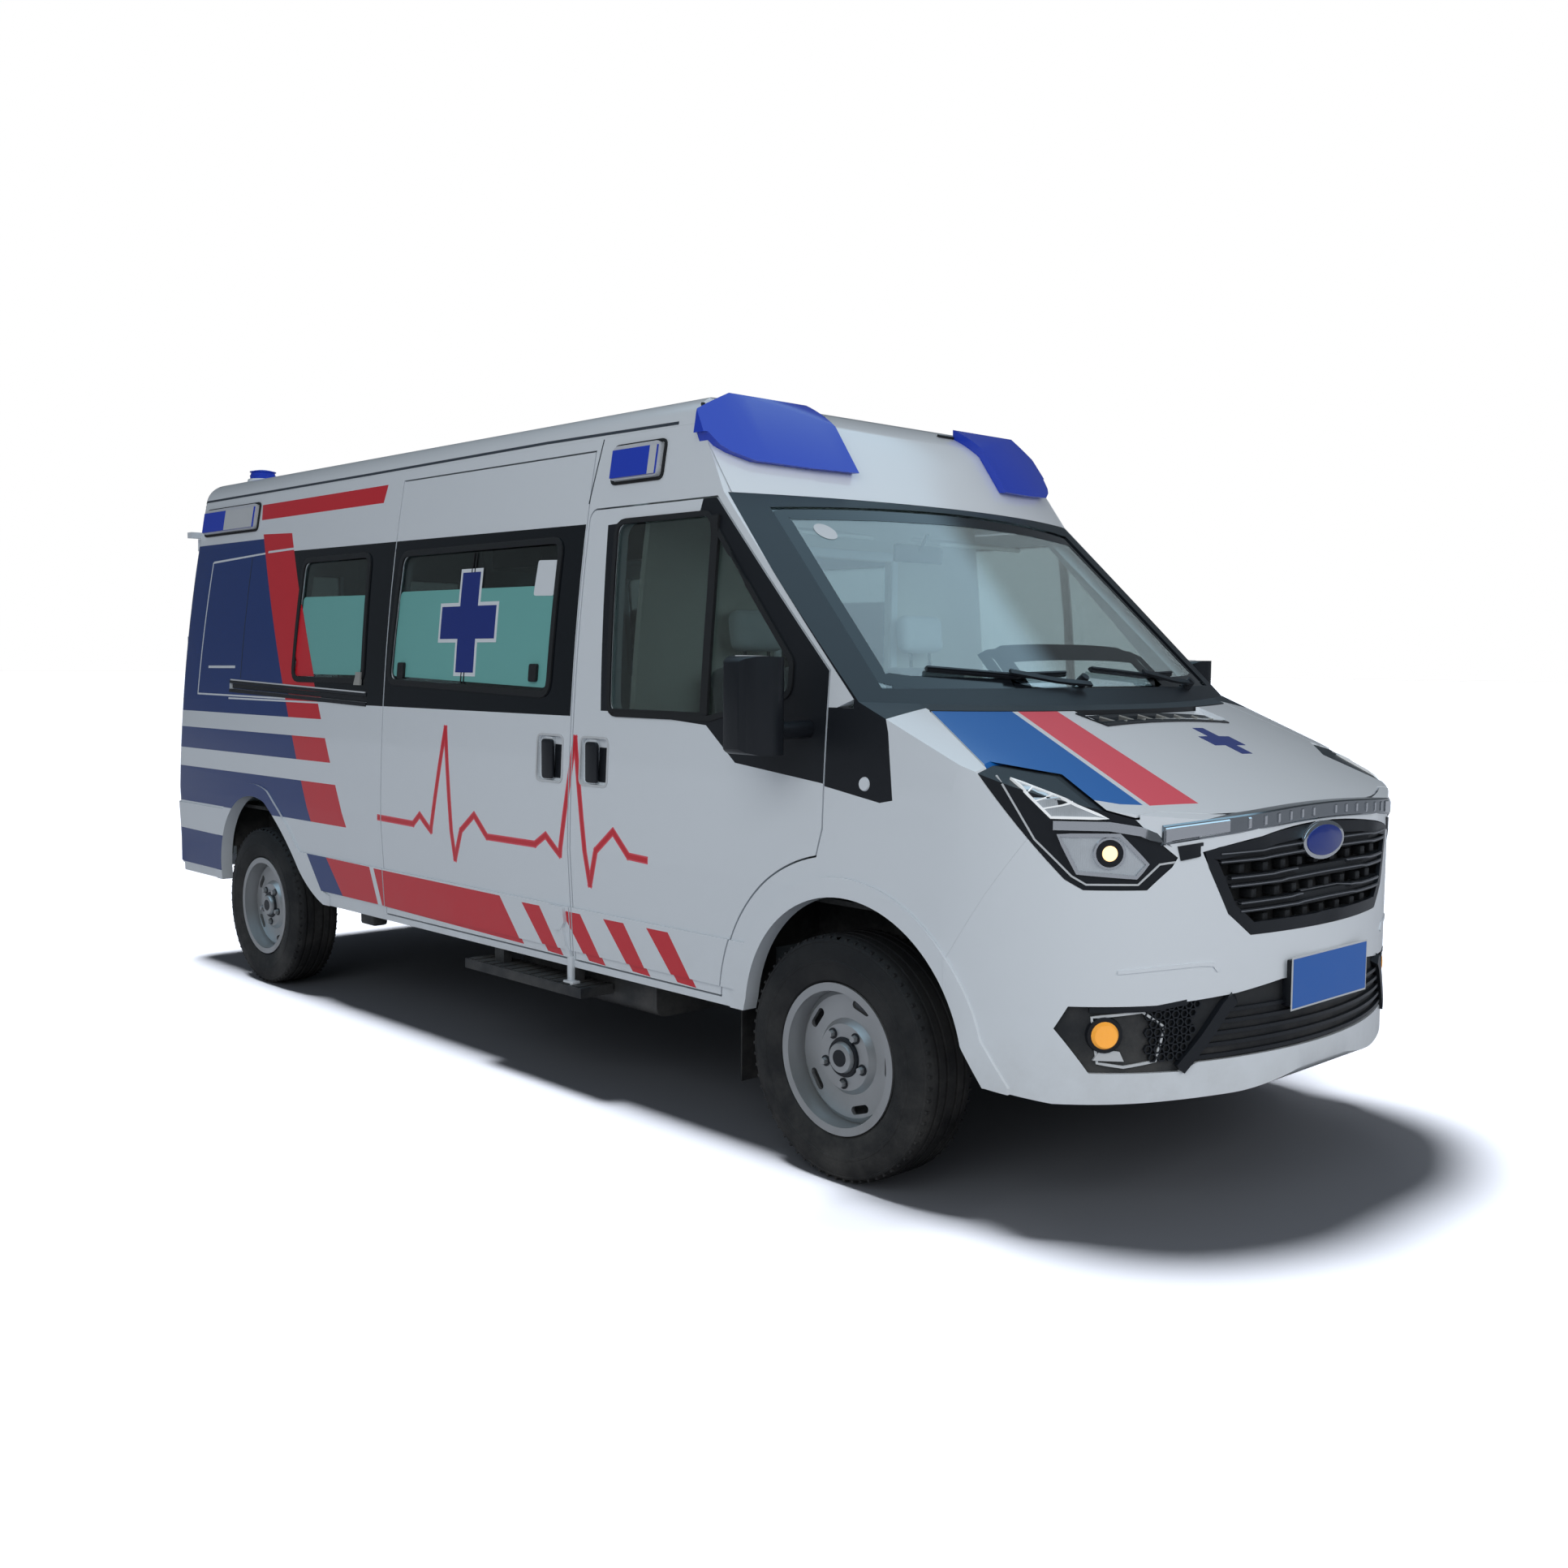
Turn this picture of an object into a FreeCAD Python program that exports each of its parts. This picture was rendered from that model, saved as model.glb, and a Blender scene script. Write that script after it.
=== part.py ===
"""A long panel van with a raised roof, fitted out as an ambulance.

Millimetres. +X points forward, +Y to the left and +Z up. The origin is on the ground,
under the middle of the vehicle, which stands on its four wheels.
"""
import FreeCAD, Part
import math
import os
from types import SimpleNamespace

from FreeCAD import Placement, Rotation, Vector

# Driving dimensions: name, value, what it is
SIZES = [
    # Whole vehicle
    ("nose_x", 2925, "foremost point of the front bumper"),
    ("tail_x", -2925, "rear edge of the entry step on the rear bumper"),
    ("half_width", 987, "half the width of the body at its widest line"),
    ("widest_height", 860, "height of the widest line"),
    ("sill_half_width", 962, "half the width at the foot of the sills"),
    ("sill_height", 440, "height of the foot of the sills"),
    ("gutter_half_width", 850, "half the width at the rain gutter"),
    ("gutter_height", 2280, "height of the rain gutter"),
    ("side_bulge", 30, "how far the sides bulge between widest line and gutter"),
    ("shoulder_half_width", 745, "half the width where the roof's edge rounding ends"),
    ("shoulder_rise", 98, "top of the roof's edge rounding above the gutter"),
    ("crown_rise", 130, "middle line of the roof above the gutter"),
    ("rear_face_x", -2790, "rear face of the body at the widest line"),
    ("rear_face_lean", 75, "how far the rear face leans forward up to the gutter"),
    ("wall", 48, "thickness of sides, roof and doors, skin to lining"),
    ("rear_corner", 85, "rounding between the sides and the rear face"),
    ("panel_gap", 6, "gap between neighbouring panels"),
    ("seat_gap", 0.3, "clearance of a piece in its seat"),
    # Running gear
    ("wheelbase", 3750, "front axle to rear axle"),
    ("front_axle_x", 1910, "place of the front axle"),
    ("track", 1740, "middle of one tyre to middle of the other"),
    ("tyre_diameter", 726, "outer diameter of the tyres"),
    ("tyre_width", 215, "width of the tyres"),
    ("rim_radius", 214, "radius of the bead seat"),
    ("rim_width", 176, "width between the rim's flanges"),
    ("rim_flange", 10, "height of the rim's flanges over the bead seat"),
    ("rim_lip", 8, "thickness of the rim's flanges along the axle"),
    ("rim_thickness", 14, "thickness of the rim's barrel"),
    ("disc_offset", 38, "wheel disc outside the middle of the tyre"),
    ("disc_thickness", 12, "thickness of the wheel disc"),
    ("slot_count", 5, "slots round the wheel disc"),
    ("slot_circle", 158, "radius of the circle of slots"),
    ("slot_length", 70, "length of a slot round the disc"),
    ("slot_width", 25, "width of a slot"),
    ("spindle_radius", 30, "radius of the wheel spindles"),
    ("spindle_play", 0.5, "clearance round the spindles"),
    ("kingpin_half_track", 735, "steering axis from the middle of the vehicle"),
    ("kingpin_radius", 26, "radius of the steering knuckle's upright"),
    # Arches
    ("front_arch_top", 844, "top of the front wheel arches"),
    ("rear_arch_top", 870, "top of the rear wheel arches"),
    ("flare_width", 58, "width of the raised bands round the arches"),
    ("flare_proud", 9, "arch bands, side strips and rear corners stand proud of the skin"),
    ("strip_foot", 500, "height of the foot of the side strips"),
    ("strip_top", 655, "height of the top of the side strips"),
    ("liner_half_width", 560, "inner wall of the front wheel houses"),
    ("liner_height", 800, "roof of the wheel houses"),
    ("tub_half_width", 735, "inner wall of the rear wheel tubs"),
    ("sheet", 15, "thickness of wheel houses, tubs and bulkhead"),
    # Screen and dome
    ("screen_foot_x", 2190, "foot of the windscreen on the middle line"),
    ("screen_foot_height", 1395, "height of the foot of the windscreen"),
    ("screen_lean", 42.8, "slope of the windscreen, degrees from level"),
    ("screen_radius", 3540, "sideways curve of the windscreen"),
    ("header_height", 2045, "height of the top of the windscreen"),
    ("dome_lean", 54.8, "slope of the roof's front dome, degrees from level"),
    ("dome_radius", 2955, "sideways curve of the roof's front dome"),
    ("dome_rounding", 324, "reach of the rounding between dome and roof"),
    ("glass", 5, "thickness of the panes"),
    ("glass_inset", 6, "panes behind the outer skin"),
    # Nose
    ("bonnet_lean", 22.2, "slope of the bonnet, degrees from level"),
    ("bonnet_radius", 7000, "sideways crown of the bonnet"),
    ("bonnet_foot_x", 2230, "rear edge of the bonnet on the middle line"),
    ("bonnet_foot_height", 1375, "height of the bonnet's rear edge"),
    ("bonnet_front_x", 2875, "front edge of the bonnet on the middle line"),
    ("bonnet_front_height", 1112, "height of the bonnet's front edge"),
    ("bonnet_thickness", 28, "thickness of the bonnet"),
    ("bonnet_half_width", 790, "half the width of the bonnet"),
    ("nose_radius", 1500, "curve of the nose in plan"),
    ("nose_corner", 600, "curve of the nose's corners in plan"),
    ("bumper_foot", 388, "height of the foot of the front bumper at the arches"),
    ("lip_drop", 27, "how much lower the bumper's front lip is"),
    ("bumper_wall", 40, "thickness of the bumper and lamp skins"),
    ("slat_foot", 812, "height of the foot of the grille's lowest opening"),
    ("slat_pitch", 70, "one opening of the grille to the next"),
    ("slat_opening", 38, "height of the grille's openings"),
    # Doors
    ("pillar_x", 630, "rear edge of the front doors"),
    ("door_front_x", 1860, "front edge of the front doors"),
    ("door_foot", 470, "height of the foot of the doors"),
    ("door_top", 2030, "height of the top of the front doors"),
    ("slider_rear_x", -690, "rear edge of the sliding door"),
    ("slider_front_x", 610, "front edge of the sliding door"),
    ("slider_top", 2235, "height of the top of the sliding door"),
    ("rail_groove_height", 26, "height of the sliding door's groove"),
    ("rail_groove_depth", 20, "depth of the sliding door's groove"),
    ("step_half_width", 560, "half the width of the entry step"),
    ("rear_door_foot", 640, "height of the foot of the rear doors"),
    ("rear_door_top", 2240, "height of the top of the rear doors"),
    ("rear_door_half_foot", 850, "half the width of the rear doors at their foot"),
    ("rear_door_half_top", 765, "half the width of the rear doors at their top"),
    ("rear_hinge_proud", 12, "rear hinge axis behind the rear face"),
    ("rear_hinge_half_width", 853, "rear hinge axes from the middle line"),
    ("rear_hinge_radius", 7, "radius of the rear hinges' barrels"),
    ("rear_hinge_strap", 120, "reach of the rear hinges' straps"),
    ("rear_hinge_play", 1.5, "gap between the halves of a rear hinge"),
    ("handle_length", 150, "length of the door handles' recesses"),
    ("handle_height", 158, "height of the door handles' recesses"),
    ("handle_foot", 1092, "height of the foot of the recesses"),
    ("handle_depth", 14, "depth of the recesses"),
    ("window_corner", 45, "rounding of the windows' corners"),
    ("window_foot", 1340, "height of the foot of the side windows"),
    ("window_top", 1950, "height of the top of the side windows"),
    # Cab
    ("steering_x", 1580, "middle of the steering wheel"),
    ("steering_y", 430, "steering wheel left of the middle line"),
    ("steering_height", 1230, "height of the middle of the steering wheel"),
    ("column_lean", 50, "lean of the steering column from upright, degrees"),
    ("steering_radius", 185, "radius of the steering wheel"),
    ("grip_radius", 15, "radius of the steering wheel's rim"),
    ("shroud_length", 220, "steering wheel to the dashboard along the column"),
    # Floor and frame
    ("floor_top", 600, "height of the load floor"),
    ("floor_thickness", 40, "thickness of the floor"),
    ("rail_half_spacing", 450, "middle of a frame rail from the middle line"),
    ("rail_width", 80, "width of a frame rail"),
    ("rail_height", 120, "height of a frame rail"),
    ("rail_rear_x", -2700, "rear end of the frame rails"),
    ("rail_front_x", 2560, "front end of the frame rails"),
    ("bay_half_length", 480, "front wheel bays, half their length behind the axle"),
    ("rear_bay_half_length", 420, "rear wheel bays, half their length"),
    ("strut_radius", 24, "radius of the front struts"),
    ("strut_half_track", 690, "front struts from the middle line"),
    ("strut_foot", 500, "height of the foot of the front struts"),
    ("arm_foot", 200, "height of the foot of the front suspension arms"),
    ("arm_height", 36, "height of the front suspension arms"),
    ("spindle_reach", 68, "ends of the spindles outside the middle of the tyres"),
    ("eye_radius", 20, "radius of the rear towing eye's hole"),
    ("eye_rim", 14, "metal round the towing eye's hole"),
    ("eye_reach", 45, "towing eye behind the frame rails"),
    ("bulkhead_x", 2085, "front wall of the cab"),
    ("partition_x", 905, "wall between the cab and the patient compartment"),
]

doc = FreeCAD.newDocument("Ambulance")
sheet = doc.addObject("Spreadsheet::Sheet", "Sizes")
for row, (name, value, meaning) in enumerate(SIZES, start=1):
    sheet.set("A%d" % row, name)
    sheet.set("B%d" % row, str(value))
    sheet.set("C%d" % row, meaning)
    sheet.setAlias("B%d" % row, name)
doc.recompute()
mm = SimpleNamespace(**{name: float(sheet.get(name)) for name, _, _ in SIZES})

rear_axle_x = mm.front_axle_x - mm.wheelbase
tyre_radius = mm.tyre_diameter / 2
half_track = mm.track / 2
crown_height = mm.gutter_height + mm.crown_rise
shoulder_height = mm.gutter_height + mm.shoulder_rise
seat = mm.seat_gap
FAR = 4000.0

nodes = []


# Drawing helpers

def wire(points, place):
    """Closed outline: a point is joined by a line, a pair (through, end) by an arc."""
    edges = []
    start = last = place(points[0])
    for step in points[1:] + [points[0]]:
        if isinstance(step[0], tuple):
            through, end = place(step[0]), place(step[1])
            edges.append(Part.Arc(last, through, end).toShape())
        else:
            end = place(step)
            if end.distanceToPoint(last) > 1e-6:
                edges.append(Part.makeLine(last, end))
        last = end
    return Part.Wire(edges)


def rounded(corners, radius):
    """A closed outline with its corners rounded."""
    steps = []
    for i, corner in enumerate(corners):
        here = Vector(corner[0], corner[1], 0)
        back = (Vector(*corners[i - 1], 0) - here).normalize()
        ahead = (Vector(*corners[(i + 1) % len(corners)], 0) - here).normalize()
        half = back.getAngle(ahead) / 2
        start = here + back * (radius / math.tan(half))
        end = here + ahead * (radius / math.tan(half))
        inward = (back + ahead).normalize()
        middle = here + inward * (radius / math.sin(half) - radius)
        steps += [(start.x, start.y), ((middle.x, middle.y), (end.x, end.y))]
    return steps


def prism(points, place, travel, grow=0.0):
    """An outline, made larger by grow all round, filled and pushed along travel."""
    outline = wire(points, place)
    if grow:
        outline = outline.makeOffset2D(grow, 2)
    return Part.Face(outline).extrude(travel)


def across(points, low=-FAR, high=FAR, grow=0.0):
    """A side view of (x, z) points, pushed across from y = low to y = high."""
    return prism(points, lambda p: Vector(p[0], low, p[1]), Vector(0, high - low, 0), grow)


def along(points, low=-FAR, high=FAR, grow=0.0):
    """A rear view of (y, z) points, pushed along from x = low to x = high."""
    return prism(points, lambda p: Vector(low, p[0], p[1]), Vector(high - low, 0, 0), grow)


def upward(points, low=-FAR, high=FAR, grow=0.0):
    """A plan of (x, y) points, pushed up from z = low to z = high."""
    return prism(points, lambda p: Vector(p[0], p[1], low), Vector(0, 0, high - low), grow)


def block(x0, x1, y0, y1, z0, z1):
    """A box between two corners."""
    return Part.makeBox(x1 - x0, y1 - y0, z1 - z0, Vector(x0, y0, z0))


def bar(radius, start, end):
    """A round bar from one point to another."""
    start, end = Vector(*start), Vector(*end)
    return Part.makeCylinder(radius, (end - start).Length, start, end - start)


def mirrored(shape):
    """The same piece on the other side of the vehicle."""
    return shape.mirror(Vector(0, 0, 0), Vector(0, 1, 0))


def both(shape):
    """A piece and its mirror image, as separate solids."""
    return Part.makeCompound([shape, mirrored(shape)])


def leaning_round(foot, lean, radius):
    """A huge round bar whose foremost line passes through foot and leans back by lean."""
    tilt = math.radians(lean)
    direction = Vector(-math.cos(tilt), 0, math.sin(tilt))
    outward = Vector(math.sin(tilt), 0, math.cos(tilt))
    length = 4 * FAR
    base = foot - outward * radius - direction * (length / 2)
    return Part.makeCylinder(radius, length, base, direction)


def node(name, shape, place=None):
    """Adds a finished piece to the document under its own name."""
    solids = shape.Solids
    if not solids:
        raise ValueError("no solid in " + name)
    item = doc.addObject("Part::Feature", name)
    item.Label = name
    item.Shape = solids[0] if len(solids) == 1 else Part.makeCompound(solids)
    if place:
        item.Placement = Placement(place, Rotation())
    nodes.append(item)
    return item


# Body surfaces, each drawn at any depth below the outer skin

def section(inset, low):
    """Cross-section of the body, seen from the rear."""
    sill = mm.sill_half_width - inset
    wide = mm.half_width - inset
    gutter = mm.gutter_half_width - inset
    shoulder = mm.shoulder_half_width - 0.5 * inset
    gutter_z = mm.gutter_height - 0.4 * inset
    shoulder_z = shoulder_height - inset
    crown = crown_height - inset
    side_mid = ((wide + gutter) / 2 + mm.side_bulge, (mm.widest_height + gutter_z) / 2)
    turn = math.hypot(gutter - shoulder, shoulder_z - gutter_z)
    bend = 0.19 * turn
    edge_mid = ((gutter + shoulder) / 2 + bend * 0.69, (gutter_z + shoulder_z) / 2 + bend * 0.72)

    def other(point):
        return (-point[0], point[1])

    return [
        (sill, low),
        (wide, mm.widest_height),
        (side_mid, (gutter, gutter_z)),
        (edge_mid, (shoulder, shoulder_z)),
        ((0, crown), (-shoulder, shoulder_z)),
        (other(edge_mid), (-gutter, gutter_z)),
        (other(side_mid), (-wide, mm.widest_height)),
        (-sill, low),
    ]


def rear_face(height, inset=0.0):
    """Place along X of the rear face at a height."""
    rise = mm.gutter_height - mm.widest_height
    return mm.rear_face_x + inset + mm.rear_face_lean * (height - mm.widest_height) / rise


def nose_plan(nose, half, reach):
    """Plan of the nose: a shallow curve with two rounder corners."""
    centre_x = nose - mm.nose_radius
    corner_y = half - mm.nose_corner
    corner_x = centre_x + math.sqrt((mm.nose_radius - mm.nose_corner) ** 2 - corner_y ** 2)
    share = mm.nose_radius / (mm.nose_radius - mm.nose_corner)
    join = (centre_x + share * (corner_x - centre_x), share * corner_y)
    out = math.atan2(join[1] - corner_y, join[0] - corner_x) / 2 + math.radians(45)
    bend = (corner_x + mm.nose_corner * math.cos(out), corner_y + mm.nose_corner * math.sin(out))
    return [
        (reach, -half),
        (corner_x, -half),
        ((bend[0], -bend[1]), (join[0], -join[1])),
        ((nose, 0), join),
        (bend, (corner_x, half)),
        (reach, half),
    ]


def rounded_rear(body, inset, low):
    """A body with the edges of its rear face rounded, all but the foot."""
    edges = []
    for edge in body.Edges:
        on_rear = all(abs(v.Point.x - rear_face(v.Point.z, inset)) < 1 for v in edge.Vertexes)
        if on_rear and edge.BoundBox.ZMax > low + 1:
            edges.append(edge)
    return body.makeFillet(mm.rear_corner - inset, edges)


def cabin(inset, low):
    """Cab and patient compartment up to the windscreen and the roof's dome."""
    body = along(section(inset, low), -FAR, screen_reach)
    front = nose_rear + inset
    side = across([
        (rear_face(low, inset), low),
        (rear_face(crown_height, inset), crown_height),
        (screen_reach, crown_height),
        (screen_reach, ledge),
        (front, ledge),
        (front, low),
    ])
    body = rounded_rear(body.common(side), inset, low)
    foot = Vector(mm.screen_foot_x, 0, mm.screen_foot_height)
    screen = leaning_round(foot, mm.screen_lean, mm.screen_radius - inset)
    screen.translate(leaning_step(mm.screen_lean, -inset))
    lower = body.common(screen).common(block(-FAR, FAR, -FAR, FAR, low, mm.header_height))
    dome = leaning_round(Vector(header_x, 0, mm.header_height), mm.dome_lean, mm.dome_radius - inset)
    dome.translate(leaning_step(mm.dome_lean, -inset))
    top = crown_height - inset
    lean = math.radians(mm.dome_lean)
    front = header_x - inset / math.sin(lean)
    peak = front - (top - mm.header_height) / math.tan(lean)
    turn = mm.dome_rounding / math.tan(lean / 2)
    rounding = across([
        (-FAR, mm.header_height),
        (-FAR, top),
        (peak - mm.dome_rounding, top),
        ((peak - mm.dome_rounding + turn * math.sin(lean / 2), top - turn * (1 - math.cos(lean / 2))),
         (peak + mm.dome_rounding * math.cos(lean), top - mm.dome_rounding * math.sin(lean))),
        (front, mm.header_height),
    ])
    upper = body.common(dome).common(rounding)
    return lower.fuse(upper)


def leaning_step(lean, distance):
    """A step square to a leaning surface, outwards if positive."""
    tilt = math.radians(lean)
    return Vector(math.sin(tilt), 0, math.cos(tilt)) * distance


def nose(inset, low):
    """Engine bay ahead of the cab, with its crowned bonnet and rounded front."""
    front = mm.nose_x - inset
    lip = low - mm.lip_drop
    body = along(section(inset, lip), nose_rear, front)
    body = body.common(upward(nose_plan(front, mm.half_width - inset, nose_rear - 1)))
    foot = Vector(mm.bonnet_foot_x, 0, mm.bonnet_foot_height)
    crown = leaning_round(foot, mm.bonnet_lean, mm.bonnet_radius - inset)
    crown.translate(leaning_step(mm.bonnet_lean, -inset))
    lip_z = mm.bonnet_front_height - inset
    lip_x = mm.bonnet_front_x - inset
    profile = across([
        (arch_end, low),
        (nose_rear, low),
        (nose_rear, FAR),
        (lip_x - 400, FAR),
        (lip_x - 60, lip_z + 40),
        ((lip_x - 8, lip_z + 2), (lip_x + 14, lip_z - 60)),
        (front, 800),
        (front, lip + 60),
        ((front - 15, lip + 18), (front - 55, lip)),
        (arch_end + 150, lip),
    ])
    return body.common(crown).common(profile)


# Places worked out from the sizes
nose_rear = mm.door_front_x + mm.panel_gap
arch_end = mm.front_axle_x + 545
floor_under = mm.floor_top - mm.floor_thickness
lining_half_width = mm.sill_half_width - mm.wall - 3
ledge = mm.screen_foot_height - 10
screen_reach = mm.screen_foot_x + 40
rise = mm.header_height - mm.screen_foot_height
header_x = mm.screen_foot_x - rise / math.tan(math.radians(mm.screen_lean))

outer_cabin = cabin(0, mm.sill_height)
outer_nose = nose(0, mm.bumper_foot)
inner_cabin = cabin(mm.wall, mm.sill_height - 50)
cabin_shell = outer_cabin.cut(inner_cabin)
inner_nose = nose(mm.bumper_wall, mm.bumper_foot - 50)
nose_shell = outer_nose.cut(inner_nose)

# Side view outlines, of (x, z) points
fx, rx = mm.front_axle_x, rear_axle_x
arch_front_line = [
    (fx - 410, -FAR),
    (fx - 410, 400),
    (fx - 384, 480),
    ((fx + 50, mm.front_arch_top), (fx + 476, 492)),
    (arch_end, mm.bumper_foot - 10),
    (arch_end, -FAR),
]
arch_rear_line = [
    (rx - 437, -FAR),
    (rx - 437, 500),
    ((rx - 206, mm.rear_arch_top - 33), (rx + 84, mm.rear_arch_top - 16)),
    ((rx + 240, 733), (rx + 386, 575)),
    ((rx + 480, 497), (rx + 600, mm.sill_height)),
    (rx + 600, -FAR),
]
arch_front = across(arch_front_line)
arch_rear = across(arch_rear_line)

# The screen corner line in side view, from the foot to the header
corner_low = (1965, 1410)
corner_high = (1325, 2000)

front_door_line = [
    (mm.pillar_x, mm.door_foot),
    (mm.pillar_x, mm.door_top - 30),
    ((mm.pillar_x + 12, mm.door_top - 8), (mm.pillar_x + 40, mm.door_top)),
    (1290, mm.door_top),
    (mm.door_front_x, 1490),
    (mm.door_front_x, 1035),
    (fx - 72, 955),
    ((fx - 349, 805), (fx - 510, mm.door_foot)),
]
slider_line = [
    (mm.slider_rear_x, mm.door_foot),
    (mm.slider_rear_x, mm.slider_top),
    (mm.slider_front_x, mm.slider_top),
    (mm.slider_front_x, mm.door_foot),
]
front_window_line = rounded([
    (830, mm.window_foot),
    (790, mm.window_top + 28),
    (1262, mm.window_top + 28),
    (1700, 1520),
    (1700, 1420),
    (1340, mm.window_foot),
], mm.window_corner)
slider_window_line = rounded([
    (-650, mm.window_foot + 90),
    (-620, mm.window_top - 20),
    (470, mm.window_top - 20),
    (460, mm.window_foot + 60),
], mm.window_corner)
rear_window_line = rounded([
    (-1500, mm.window_foot + 90),
    (-1480, mm.window_top - 10),
    (-900, mm.window_top - 10),
    (-880, mm.window_foot + 90),
], mm.window_corner)
lamp_line = [(2402, 1242), (2512, 1213), (2743, 1111), (2800, 1010), (2793, 985), (2761, 927), (2655, 929),
             (2619, 956)]
handle_spots = {"slider": mm.slider_front_x - 190, "door": mm.pillar_x + 50}


def cut_all(shape, tools):
    """A shape with all the tools taken out of it."""
    for tool in tools:
        shape = shape.cut(tool)
    return shape


def flare(line):
    """Side view of the raised band round an arch, and of the arch itself."""
    return across(line, -FAR, -600, mm.flare_width)


def raised_sides():
    """Arch bands and side strips, standing proud of the right side."""
    proud = section(-mm.flare_proud, mm.sill_height)
    layer = along(proud, mm.rear_face_x + 200, nose_rear).cut(outer_cabin).cut(outer_nose)
    strip = across([(rx, mm.strip_foot), (rx, mm.strip_top), (fx, mm.strip_top), (fx, mm.strip_foot)], -FAR, -600)
    bands = flare(arch_front_line).fuse(flare(arch_rear_line)).fuse(strip)
    return layer.common(bands)


def raised_nose():
    """Front end of the front arch's raised band, on the right wing and bumper."""
    layer = nose(-mm.flare_proud, mm.bumper_foot).cut(outer_nose).cut(outer_cabin)
    return layer.common(flare(arch_front_line)).common(block(nose_rear, fx + 640, -FAR, -700, -FAR, FAR))


def handle_recess(x):
    """Recess of a door handle on the right side, without its grip."""
    foot, top = mm.handle_foot, mm.handle_foot + mm.handle_height
    front = x + mm.handle_length
    zone = across(rounded([(x, foot), (x, top), (front, top), (front, foot)], 25), -FAR, -600)
    grip = block(x + 45, x + 85, -FAR, -600, foot + 4, top - 4)
    return outer_cabin.common(zone).cut(cabin(mm.handle_depth, mm.sill_height)).cut(grip)


# Roof

def build_roof():
    """Roof skin with the front dome."""
    region = across([
        (-FAR, mm.gutter_height),
        (1165, mm.gutter_height),
        (1330, mm.header_height + seat),
        (FAR, mm.header_height + seat),
        (FAR, FAR),
        (-FAR, FAR),
    ])
    return node("roof", cabin_shell.common(region))


def side_region():
    """Side view of the body side, from the rear corner to the screen pillar."""
    return across([
        (-FAR, -FAR),
        (-FAR, mm.gutter_height - seat),
        (1165 - 1, mm.gutter_height - seat),
        (corner_high[0], mm.header_height - seat),
        (corner_low[0], corner_low[1]),
        (1900, ledge + seat),
        (nose_rear - seat, ledge + seat),
        (nose_rear - seat, -FAR),
    ], -FAR, -600)


def rear_opening(grow):
    """Rear view of the doorway that the two rear doors fill."""
    return along([
        (-mm.rear_door_half_foot, mm.rear_door_foot),
        (-mm.rear_door_half_top, mm.rear_door_top),
        (mm.rear_door_half_top, mm.rear_door_top),
        (mm.rear_door_half_foot, mm.rear_door_foot),
    ], -FAR, rear_face(crown_height) + 140, grow)


def tail_lamp_zone(grow=0.0):
    """Rear view of the right tail lamp, in the corner beside the rear door."""
    return along([(-862, 1010), (-838, 1480), (-FAR, 1480), (-FAR, 1010)],
                 -FAR, rear_face(crown_height) - 15, grow)


def hinge_axis_point(height):
    """A point on the right rear door's hinge axis, parallel to the leaning rear face."""
    return Vector(rear_face(height) - mm.rear_hinge_proud, -mm.rear_hinge_half_width, height)


def rear_hinges(on_door):
    """One half of the right rear door's hinges: barrels with their straps."""
    parts = []
    radius = mm.rear_hinge_radius
    for height in (720, 1530, 2050):
        low, high = (height, height + 60) if on_door else (height + 60 + mm.rear_hinge_play, height + 90)
        barrel = bar(radius, tuple(hinge_axis_point(low)), tuple(hinge_axis_point(high)))
        centre = hinge_axis_point((low + high) / 2)
        reach = mm.rear_hinge_strap if on_door else -mm.rear_hinge_strap / 2
        y0, y1 = sorted((centre.y, centre.y + reach))
        depth = 8 if on_door else 35
        strap = block(centre.x - 3, centre.x + mm.rear_hinge_proud + depth, y0, y1, low, high)
        if on_door:
            over = strap.cut(outer_cabin)
            over.translate(Vector(-seat, 0, 0))
            strap = over.fuse(strap.common(rear_leaf()))
        parts.append(barrel.fuse(strap))
    return parts


def rear_leaf(grow=0.0):
    """Rear view of the right rear door."""
    return along([
        (-mm.rear_door_half_foot, mm.rear_door_foot),
        (-mm.rear_door_half_top, mm.rear_door_top),
        (-mm.panel_gap / 2, mm.rear_door_top),
        (-mm.panel_gap / 2, mm.rear_door_foot),
    ], -FAR, rear_face(crown_height) + 140, grow)


def arch_band_zone():
    """Side view of the strip between the front door and the front arch."""
    low = mm.door_foot - mm.panel_gap
    return across([(fx - 510, low), (fx - 510, 1060), (nose_rear, 1060), (nose_rear, low)], -FAR, -600)


def rail_groove():
    """Groove in the right side for the sliding door's rear roller."""
    half = mm.rail_groove_height / 2
    zone = across([(-2164, 1382 - half), (-2164, 1382 + half), (-831, 1346 + half), (-831, 1346 - half)], -FAR, -600)
    return outer_cabin.common(zone).cut(cabin(mm.rail_groove_depth, mm.sill_height))


def build_sides():
    """Body sides with their sills, pillars and corners."""
    gap = mm.panel_gap
    side = side_skin.common(side_region()).cut(arch_band_zone())
    side = cut_all(side, [
        across(front_door_line, -FAR, 0, gap),
        across(rear_window_line, -FAR, 0),
        rear_opening(gap),
        tail_lamp_zone(seat),
        arch_rear,
        arch_front,
    ])
    for part in rear_hinges(False):
        side = side.fuse(part)
    right = side.cut(across(slider_line, -FAR, 0, gap)).cut(rail_groove())
    for height, y in ((700, -950), (1900, -900)):
        for x0, x1 in ((mm.slider_front_x + seat, mm.slider_front_x + gap + 4),
                       (mm.slider_rear_x - gap - 4, mm.slider_rear_x - seat)):
            right = right.fuse(block(x0, x1, y, y + 15, height, height + 60))
    left = mirrored(side.cut(across(slider_window_line, -FAR, 0)))
    node("side_panel_right", right)
    node("side_panel_left", left)


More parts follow.
